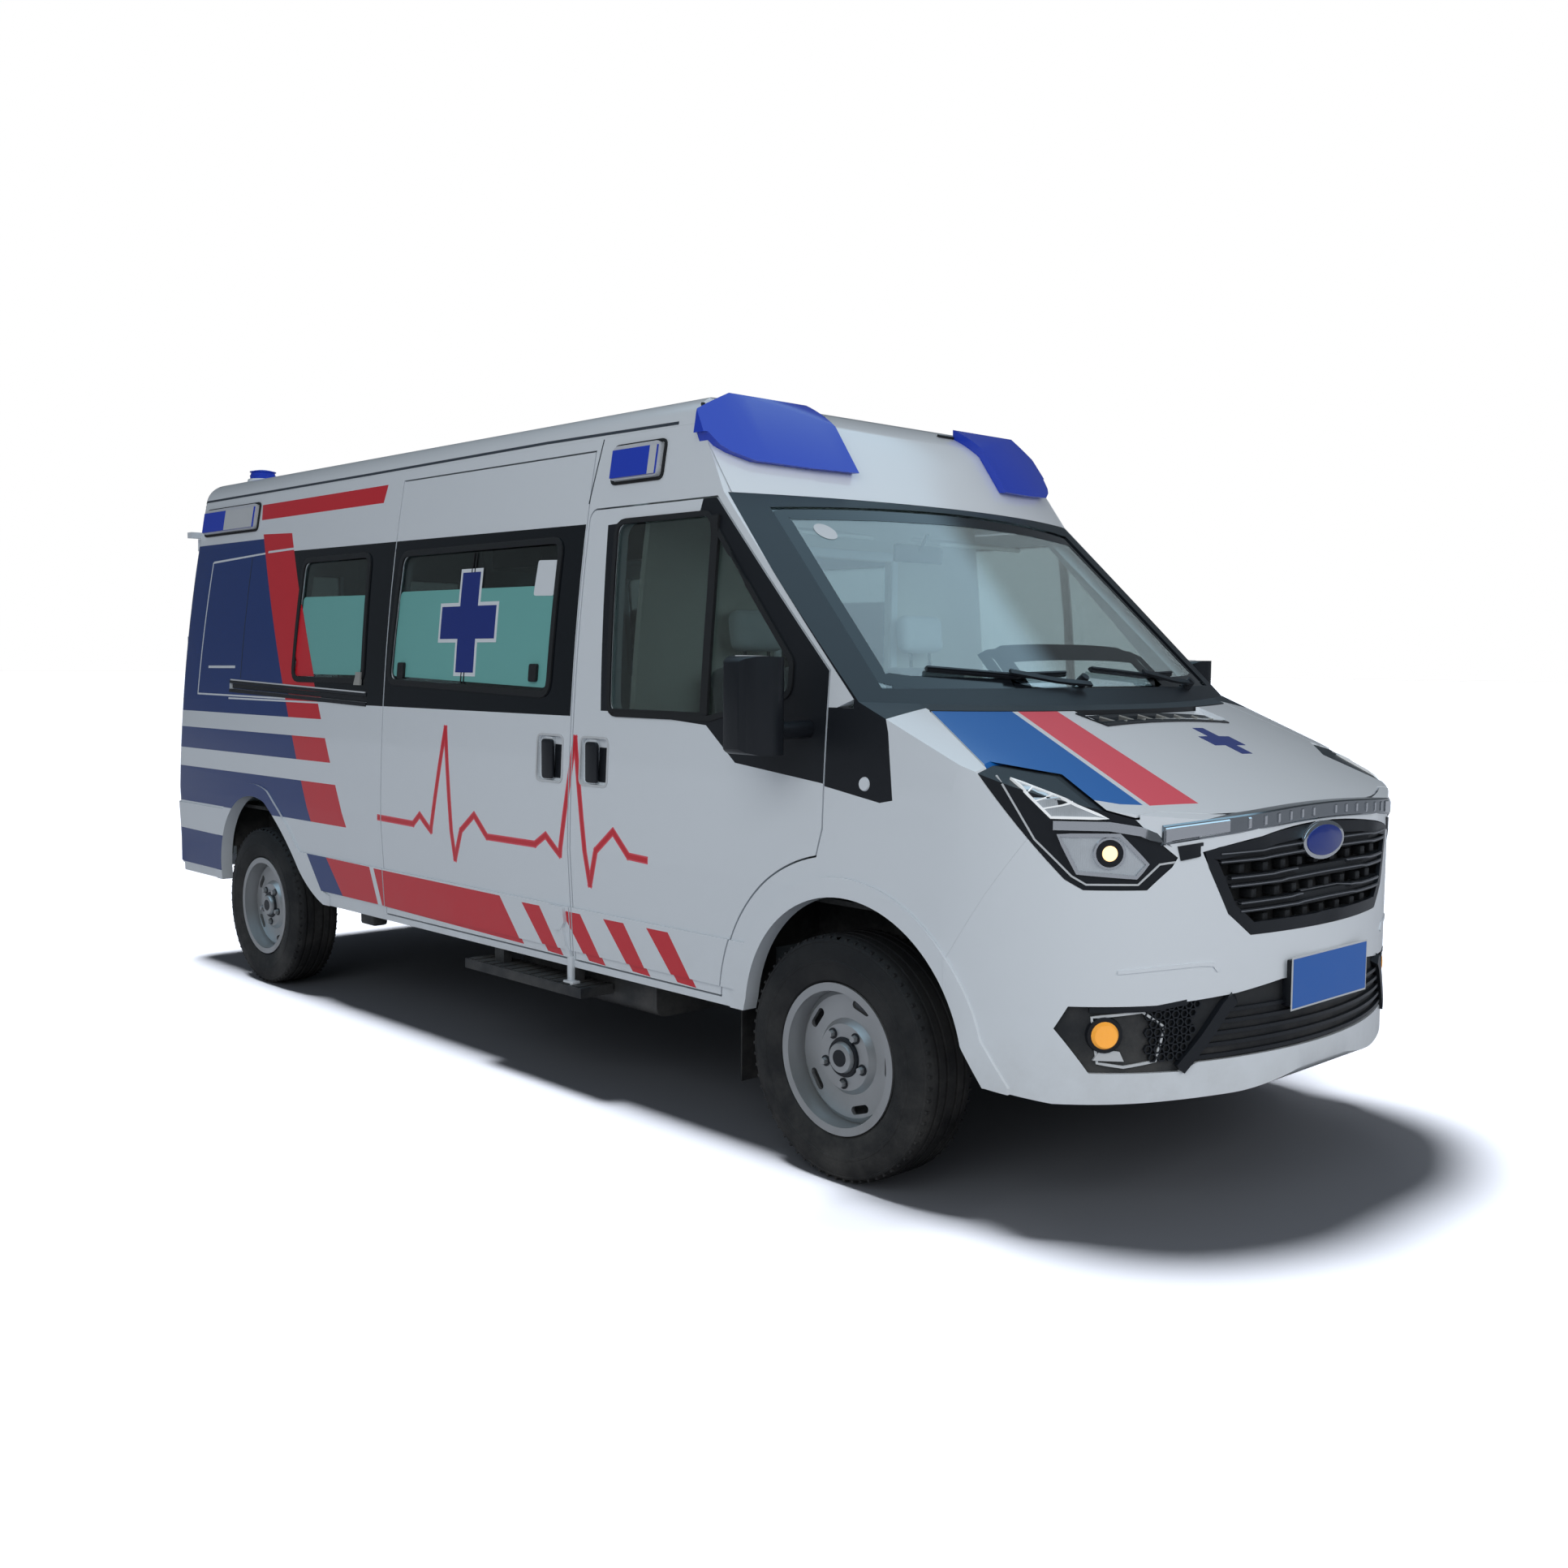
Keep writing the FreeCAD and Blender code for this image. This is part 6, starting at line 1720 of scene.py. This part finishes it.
@dataclass
class Seat:
    """A padded cab seat, its cushions swollen by a cloth simulation."""

    cushion: tuple[Point3, Point3] = ((1.12, -0.23, 0.885), (1.49, 0.23, 0.99))
    back_foot: Point3 = (1.02, 0.0, 0.985)
    back_height: float = 0.52
    back_lean: float = 8.0
    voxel: float = 0.011
    swell: float = 0.012
    pressure: float = 4.0
    frames: int = 20

    def padded(self, bm: Shape, name: str) -> Shape:
        """The shape with its sides blown out like a stuffed cover.

        Args:
            bm: The slightly small shape, which is used up.
            name: A name for the passing object.

        Returns:
            The swollen shape.
        """
        made = shown(name, mesh_of(bm, name))
        remesh = made.modifiers.new("voxels", "REMESH")
        remesh.mode = "VOXEL"
        remesh.voxel_size = self.voxel
        self.bake(made, remesh)
        start = [v.co.copy() for v in made.data.vertices]
        cloth = made.modifiers.new("cover", "CLOTH")
        cloth.settings.use_pressure = True
        cloth.settings.uniform_pressure_force = self.pressure
        cloth.settings.effector_weights.gravity = 0.0
        cloth.point_cache.frame_start = 1
        cloth.point_cache.frame_end = self.frames
        for frame in range(1, self.frames + 1):
            bpy.context.scene.frame_set(frame)
        self.bake(made, cloth)
        bpy.context.scene.frame_set(1)
        swollen = bmesh.new()
        swollen.from_mesh(made.data)
        swollen.verts.ensure_lookup_table()
        for vert, place in zip(swollen.verts, start):
            step = vert.co - place
            if step.length > self.swell:
                vert.co = place + step.normalized() * self.swell
        bmesh.ops.smooth_vert(swollen, verts=swollen.verts, factor=0.5, use_axis_x=True, use_axis_y=True,
                              use_axis_z=True)
        data = made.data
        bpy.data.objects.remove(made)
        bpy.data.meshes.remove(data)
        return swollen

    @staticmethod
    def bake(made: bpy.types.Object, modifier: bpy.types.Modifier) -> None:
        """Puts a modifier's result into the mesh and drops the modifier."""
        depsgraph = bpy.context.evaluated_depsgraph_get()
        baked = bpy.data.meshes.new_from_object(made.evaluated_get(depsgraph))
        made.modifiers.remove(modifier)
        old = made.data
        made.data = baked
        bpy.data.meshes.remove(old)

    def shapes(self) -> list[Shape]:
        """Cushion, backrest and headrest about the seat's own middle line."""
        low, high = self.cushion
        cushion = self.padded(block(low, high, 0.04, 3), "cushion")
        x, _, z = self.back_foot
        back = block((x, -0.222, z), (x + 0.095, 0.222, z + self.back_height), 0.04, 3)
        head = block((x + 0.01, -0.115, z + self.back_height + 0.045),
                     (x + 0.08, 0.115, z + self.back_height + 0.19), 0.03, 3)
        parts = [cushion]
        for shape, name in ((back, "backrest"), (head, "headrest")):
            bmesh.ops.rotate(shape, cent=(x, 0, z), matrix=turned(-self.back_lean, "Y"), verts=shape.verts)
            parts.append(self.padded(shape, name))
        return parts


@dataclass
class Cab:
    """Seats, dashboard details, steering wheel and inner mirror."""

    seat_y: float = 0.43
    wheel_centre: Point3 = (1.58, 0.43, 1.23)
    wheel_radius: float = 0.185
    wheel_grip: float = 0.0145
    column_lean: float = 50.0
    vent_ys: tuple[float, ...] = (-0.7, -0.24, 0.18, 0.68)

    def seats(self) -> None:
        """Two padded seats on their boxes."""
        soft = Seat().shapes()
        pads, frames = Kit(), Kit()
        for y in (-self.seat_y, self.seat_y):
            for number, shape in zip((0, 0, 1), soft):
                twin = shape.copy()
                bmesh.ops.translate(twin, vec=(0, y, 0), verts=twin.verts)
                pads.add(number, twin)
            frames.add(0, block((1.04, y - 0.225, 0.6005), (1.4, y + 0.225, 0.872), 0.012))
            for side in (-0.055, 0.055):
                frames.add(0, tube([(0.985, y + side, 1.47), (0.975, y + side, 1.58)], 0.006))
            for side in (-0.15, 0.15):
                seam = [(1.15, y + side, 0.992), (1.3, y + side, 0.997), (1.47, y + side, 0.988)]
                frames.add(0, tube(seam, 0.0035, 6))
        for shape in soft:
            shape.free()
        made = pads.into("cab_seat_pads", "shell", [CLOTH, COVER], "seat_fabric", 60.0, ("cab_seats",))
        frames.into("cab_seat_frames", "shell", [SATIN_BLACK], "black_plastic")

    def dashboard(self) -> None:
        """Instrument hood, screen, vents and glove box on the dashboard."""
        kit = Kit()
        kit.add(0, block((1.716, 0.24, 1.27), (1.89, 0.62, 1.345), 0.025, 3))
        kit.add(1, block((1.712, 0.262, 1.215), (1.722, 0.598, 1.312), 0.004))
        kit.add(0, block((1.695, -0.13, 0.96), (1.735, 0.13, 1.262), 0.012))
        kit.add(1, block((1.69, -0.105, 1.12), (1.696, 0.105, 1.24), 0.003))
        kit.add(2, block((1.7, -0.74, 1.02), (1.712, -0.3, 1.18), 0.008))
        for y in self.vent_ys:
            for k in range(4):
                low = 1.196 + k * 0.013
                kit.add(0, block((1.699, y - 0.055, low), (1.712, y + 0.055, low + 0.006), 0.001, 1))
        kit.add(2, block((1.8, -0.76, 1.304), (2.06, 0.76, 1.318), 0.006))
        for y in (-0.42, 0.0):
            kit.add(0, tube([(1.69, y * 0.1 + 0.05, 1.08), (1.66, y * 0.1 + 0.05, 1.085)], 0.012))
        kit.into("dashboard_details", "shell", [SATIN_BLACK, DARK_GLOSS, CREAM], "grey_plastic", 35.0)

    def steering(self) -> None:
        """A round steering wheel with a padded middle."""
        grip = self.wheel_grip
        turns = (math.tau * k / 14 for k in range(14))
        ring = spun([(self.wheel_radius + grip * math.cos(a), grip * math.sin(a)) for a in turns],
                    (0, 0, 0), 56)
        bmesh.ops.rotate(ring, matrix=turned(90, "X"), verts=ring.verts)
        kit = Kit()
        kit.add(0, ring, disc((0, 0, -0.032), 0.068, 0.05, UP, 36, 0.058, 0.008),
                disc((0, 0, -0.09), 0.022, 0.07, UP, 24))
        for degrees in (0, 180, 270):
            spoke = block((0.045, -0.02, -0.016), (self.wheel_radius - 0.004, 0.02, 0.0), 0.006)
            bmesh.ops.rotate(spoke, matrix=turned(degrees + 90, "Z"), verts=spoke.verts)
            kit.add(1, spoke)
        bm = kit.whole()
        bmesh.ops.rotate(bm, matrix=turned(-self.column_lean, "Y"), verts=bm.verts)
        bmesh.ops.translate(bm, vec=self.wheel_centre, verts=bm.verts)
        Piece("steering_wheel_rim", "steering_wheel", [SATIN_BLACK, GREY], "black_plastic", 45.0,
              ("steering_wheel",)).place(bm)

    def fittings(self) -> None:
        """Inner mirror, sun visors and the frame in the partition."""
        kit = Kit()
        kit.add(0, block((1.335, -0.125, 1.862), (1.352, 0.125, 1.925), 0.01))
        kit.add(0, tube([(1.35, 0.0, 1.9), (1.385, 0.0, 1.96)], 0.007))
        kit.add(2, block((1.333, -0.118, 1.868), (1.336, 0.118, 1.919), 0.001, 1))
        for side, _ in SIDES:
            y0, y1 = sorted((side * 0.17, side * 0.64))
            visor = block((1.15, y0, 1.96), (1.3, y1, 1.974), 0.006)
            bmesh.ops.rotate(visor, cent=(1.15, 0, 1.967), matrix=turned(10, "Y"), verts=visor.verts)
            kit.add(1, visor)
        for y0, z0, y1, z1 in ((-0.285, 0.865, 0.365, 0.898), (-0.285, 1.902, 0.365, 1.935),
                               (-0.285, 0.865, -0.252, 1.935), (0.332, 0.865, 0.365, 1.935)):
            kit.add(3, block((0.906, y0, z0), (0.918, y1, z1), 0.003))
        kit.into("cab_fittings", "shell", [SATIN_BLACK, CREAM, MIRROR_GLASS, CABINET], "grey_plastic", 35.0)

    def build(self) -> None:
        """Makes the cab's pieces."""
        self.seats()
        self.dashboard()
        self.steering()
        self.fittings()


@dataclass
class PatientRoom:
    """Doors, handles and worktop of the cabinets."""

    front: float = 0.48
    rear_x: float = -2.3
    front_x: float = 0.5
    doors: int = 6
    gap: float = 0.006

    def build(self) -> None:
        """Makes the cabinets' fronts."""
        kit = Kit()
        front = self.front
        wide = (self.front_x - self.rear_x) / self.doors
        for k in range(self.doors):
            x0, x1 = self.rear_x + k * wide + self.gap, self.rear_x + (k + 1) * wide - self.gap
            kit.add(0, block((x0, front - 0.007, 0.64), (x1, front - 0.0005, 1.225), 0.002, 1))
            kit.add(1, block((x1 - 0.09, front - 0.022, 1.15), (x1 - 0.03, front - 0.007, 1.162), 0.003))
            kit.add(2, block((x0, 0.5935, 2.01), (x1, 0.5995, 2.2), 0.002, 1))
        kit.add(1, block((self.rear_x, front - 0.02, 1.2505), (self.front_x, 0.72, 1.27), 0.004))
        kit.into("cabinet_fronts", "shell", [CABINET, GREY, SMOKED], "grey_plastic", 35.0)


@dataclass
class Rear:
    """Handles, seals, blank plate and lamp segments at the back."""

    start_x: float = -2.8
    amber: Point2 = (0.62, 0.8)
    pale: Point2 = (0.22, 0.38)
    step_pads: int = 4
    step_pitch: float = 0.022

    def door(self, side: float, name: str) -> None:
        """Seals and fittings of one rear door.

        Args:
            side: 1 for the left and -1 for the right.
            name: Which door.
        """
        body = "rear_door_" + name
        kit = Kit(Skin(body, "rear_door_glass_" + name), BACKWARD, self.start_x)
        window = [(side * y, z) for y, z in ((0.698, 1.362), (0.658, 1.958), (0.082, 1.958), (0.082, 1.362))]
        kit.line(0, rounded(window, 0.04), 0.026, 0.006, -0.001, True)
        kit.line(0, [(side * 0.01, 0.66), (side * 0.01, 2.215)], 0.01, 0.004)
        if side < 0:
            kit.plate(1, rounded(rectangle(-0.185, 1.01, -0.045, 1.11), 0.02), 0.004, 0.004)
            kit.plate(1, rounded(rectangle(-0.172, 1.062, -0.058, 1.092), 0.01), 0.024, 0.014)
        else:
            kit.plate(1, rectangle(0.085, 0.785, 0.555, 0.955), 0.008, 0.008, 0.08)
            kit.plate(2, rectangle(0.1, 0.8, 0.54, 0.94), 0.011, 0.004, 0.08)
        kit.into("rear_door_trim_" + name, body, [RUBBER, SATIN_BLACK, PLATE_BLUE], "black_rubber")

    def lamps(self) -> None:
        """Tail lamps with amber and clear segments."""
        bm = node_shape("tail_lamps")
        low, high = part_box("tail_lamps")
        height = high[2] - low[2]
        bands = ((1, *self.amber), (2, *self.pale))
        for side, _ in SIDES:
            for number, start, end in bands:
                z0, z1 = low[2] + height * start, low[2] + height * end
                Stripe(AMBER, ((-3.0, z0), (-2.0, z0), (-2.0, z1), (-3.0, z1))).lay(bm, number, side)
        for face in bm.faces:
            share = (face.calc_center_median().z - low[2]) / height
            for number, start, end in bands:
                if face.normal.x < -0.3 and start < share < end:
                    face.material_index = number
        Piece("tail_lamp_lenses", "shell", [RED_LENS, AMBER_DULL, PALE], "red_lens", 35.0,
              ("tail_lamps",)).place(bm)

    def step(self) -> None:
        """Ribbed pads on the rear entry step."""
        kit = Kit()
        for k in range(self.step_pads):
            x = k * self.step_pitch
            kit.add(0, block((-2.905 + x, -0.52, 0.628), (-2.893 + x, 0.52, 0.632), 0.001, 1))
        kit.into("rear_step_pad", "shell", [RUBBER], "black_rubber")

    def build(self) -> None:
        """Makes the pieces at the back."""
        for side, name in SIDES:
            self.door(side, name)
        self.lamps()
        self.step()


@dataclass
class Studio:
    """Camera, lights, floor and sky."""

    place: Point3 = (4.9983, -4.111, 1.5152)
    yaw: float = 136.499
    pitch: float = -4.54
    roll: float = 0.413
    lens: float = 35.37
    sun_from: Point3 = (-0.3, -0.02, 1.0)
    sun_power: float = 25.0
    sun_blur: float = 16.0
    sky_strength: float = 0.34
    shine_strength: float = 1.3
    floor_size: float = 150.0
    lamps: tuple[tuple[str, Point3, float, float, Color], ...] = (
        ("key_lamp", (-3.0, 5.5, 8.0), 5.0, 230.0, (1.0, 0.99, 0.97)),
        ("fill_lamp", (5.0, -8.0, 5.0), 6.0, 235.0, (0.97, 1.0, 1.0)),
        ("front_lamp", (9.0, 1.0, 4.0), 4.0, 170.0, (1.0, 1.0, 1.0)))

    def camera(self) -> None:
        """Sets the camera where the photograph was taken."""
        yaw, pitch, roll = (math.radians(v) for v in (self.yaw, self.pitch, self.roll))
        ahead = Vector((math.cos(yaw) * math.cos(pitch), math.sin(yaw) * math.cos(pitch), math.sin(pitch)))
        level = Vector((math.sin(yaw), -math.cos(yaw), 0.0))
        upright = level.cross(ahead)
        right = math.cos(roll) * level + math.sin(roll) * upright
        up = -math.sin(roll) * level + math.cos(roll) * upright
        turn = Matrix((right, up, -ahead)).transposed()
        data = bpy.data.cameras.new("photo_camera")
        data.lens = self.lens
        data.sensor_width = 36.0
        data.clip_end = 200.0
        made = shown("photo_camera", data)
        made.matrix_world = Matrix.Translation(self.place) @ turn.to_4x4()
        bpy.context.scene.camera = made

    def sky(self) -> None:
        """A pale sky that is pure white behind the vehicle and dark low down in reflections."""
        world = bpy.data.worlds.new("studio_sky")
        bpy.context.scene.world = world
        g = Graph.fresh(world)
        path = g.node("ShaderNodeLightPath")
        height = g.split(g.node("ShaderNodeTexCoord").outputs["Generated"])["Z"]
        tone = g.mix(g.ramp(height, -0.05, 0.6), (0.86, 0.88, 0.9, 1.0), (0.8, 0.89, 1.0, 1.0))
        shine = g.mix(g.ramp(height, 0.62, 0.7), (0.07, 0.08, 0.09, 1.0), (0.52, 0.8, 1.0, 1.0))
        lit = g.blend(path.outputs["Is Glossy Ray"], g.background(tone, self.sky_strength),
                      g.background(shine, self.shine_strength))
        both = g.blend(g.seen(path), lit, g.background((1.0, 1.0, 1.0, 1.0), 1.0))
        g.feed(g.node("ShaderNodeOutputWorld").inputs["Surface"], both)

    def lamp(self, name: str, place: Point3, size: float, power: float, color: Color) -> None:
        """A soft square lamp that looks at the middle of the vehicle."""
        data = bpy.data.lights.new(name, "AREA")
        data.size = size
        data.energy = power
        data.color = color
        made = shown(name, data)
        aim = Vector((0.0, 0.0, 1.0)) - Vector(place)
        made.matrix_world = Matrix.Translation(place) @ aim.to_track_quat("-Z", "Y").to_matrix().to_4x4()
        made.visible_glossy = False

    def floor(self) -> None:
        """A floor that looks white where its own sun lights it, and keeps the vehicle's shadow."""
        bm = bmesh.new()
        bmesh.ops.create_grid(bm, x_segments=2, y_segments=2, size=self.floor_size)
        bmesh.ops.translate(bm, vec=(0, 0, -0.0005), verts=bm.verts)
        made = shown("studio_floor", mesh_of(bm, "studio_floor"))
        paint = bpy.data.materials.new("studio_floor_paint")
        g = Graph.fresh(paint)
        shader = g.node("ShaderNodeBsdfDiffuse")
        place = g.node("ShaderNodeTexCoord").outputs["Object"]
        tone = g.mix(g.noise(place, 0.8, 2.0), (0.15, 0.16, 0.18, 1.0), (0.158, 0.165, 0.182, 1.0))
        seen = g.seen(g.node("ShaderNodeLightPath"))
        g.feed(shader.inputs["Color"], g.mix(seen, (0.04, 0.043, 0.048, 1.0), tone))
        g.feed(g.node("ShaderNodeOutputMaterial").inputs["Surface"], shader.outputs[0])
        made.data.materials.append(paint)
        made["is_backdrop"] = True
        self.floor_sun(made)

    def floor_sun(self, floor: bpy.types.Object) -> None:
        """A sun that lights nothing but the floor, so that it casts the soft shadow of the photograph."""
        data = bpy.data.lights.new("floor_sun", "SUN")
        data.energy = self.sun_power
        data.angle = math.radians(self.sun_blur)
        made = shown("floor_sun", data)
        made.matrix_world = Vector(self.sun_from).to_track_quat("Z", "Y").to_matrix().to_4x4()
        lit = bpy.data.collections.new("lit_by_floor_sun")
        lit.objects.link(floor)
        made.light_linking.receiver_collection = lit

    def build(self) -> None:
        """Makes the whole studio."""
        bpy.context.scene.view_settings.view_transform = "Standard"
        self.camera()
        self.sky()
        self.floor()
        for settings in self.lamps:
            self.lamp(*settings)


PLAIN_NODES: dict[str, Finish] = {
    "screen_frame": SATIN_BLACK, "cowl": BLACK, "front_door_glass_right": TINTED,
    "front_door_glass_left": TINTED, "side_windows": SMOKED, "windscreen": SCREEN,
    "rear_door_glass_right": SMOKED, "rear_door_glass_left": SMOKED, "headlamps": SATIN_BLACK,
    "grille": BLACK, "bumper_inserts": BLACK, "floor": FLOOR, "bulkhead": LINER, "wheel_tubs": LINER,
    "frame_rails": CHASSIS, "engine_block": CAST, "knuckle_left": CAST, "knuckle_right": CAST,
    "rear_axle": CAST, "fuel_tank": BLACK, "exhaust": PIPE, "dashboard": GREY, "cab_seats": CLOTH,
    "steering_wheel": SATIN_BLACK, "partition": CREAM, "cabinets": CABINET, "tail_lamps": RED_LENS,
    "roof_beacons": BLUE_LENS, "roof_light_pods": BLUE_LENS, "side_beacons": BLUE_LENS,
    "side_step": BLACK, "mud_flaps": RUBBER, "mirror_right": SATIN_BLACK, "mirror_left": SATIN_BLACK,
}
ROUND_NODES: dict[str, Finish] = {"rim": STEEL, "tyre": TYRE}


def dress_plain_nodes() -> None:
    """Gives each CAD node that stays shown its finish."""
    for name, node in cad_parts.items():
        finish = PLAIN_NODES.get(name) or ROUND_NODES.get(name.split("_")[0])
        if finish:
            node.data.materials.clear()
            node.data.materials.append(finish.material())


def corners(box: tuple[Vector, Vector]) -> list[list[float]]:
    """A box as plain numbers."""
    return [[round(value, 4) for value in corner] for corner in box]


def main() -> None:
    """Builds the studio and every sub-assembly in order."""
    logging.basicConfig(level=logging.INFO, format="%(name)s: %(message)s")
    Studio().build()
    dress_plain_nodes()
    for assembly in (Bodywork(Livery()), Glazing(), Wipers(), SideDetails(), Headlamps(), Nose(),
                     BonnetDetails(), RoofLamps(), Wheels(), Mirrors(), Cab(), PatientRoom(), Rear()):
        assembly.build()


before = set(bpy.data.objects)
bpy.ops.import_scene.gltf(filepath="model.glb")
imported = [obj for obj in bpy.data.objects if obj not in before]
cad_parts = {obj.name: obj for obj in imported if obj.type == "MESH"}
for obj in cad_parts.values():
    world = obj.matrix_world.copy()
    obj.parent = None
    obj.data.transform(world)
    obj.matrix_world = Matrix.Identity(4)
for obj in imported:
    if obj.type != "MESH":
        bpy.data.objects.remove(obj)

if __name__ == "__main__":
    cad_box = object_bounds()
    main()
    {"cad": corners(cad_box), "visual": corners(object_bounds())}
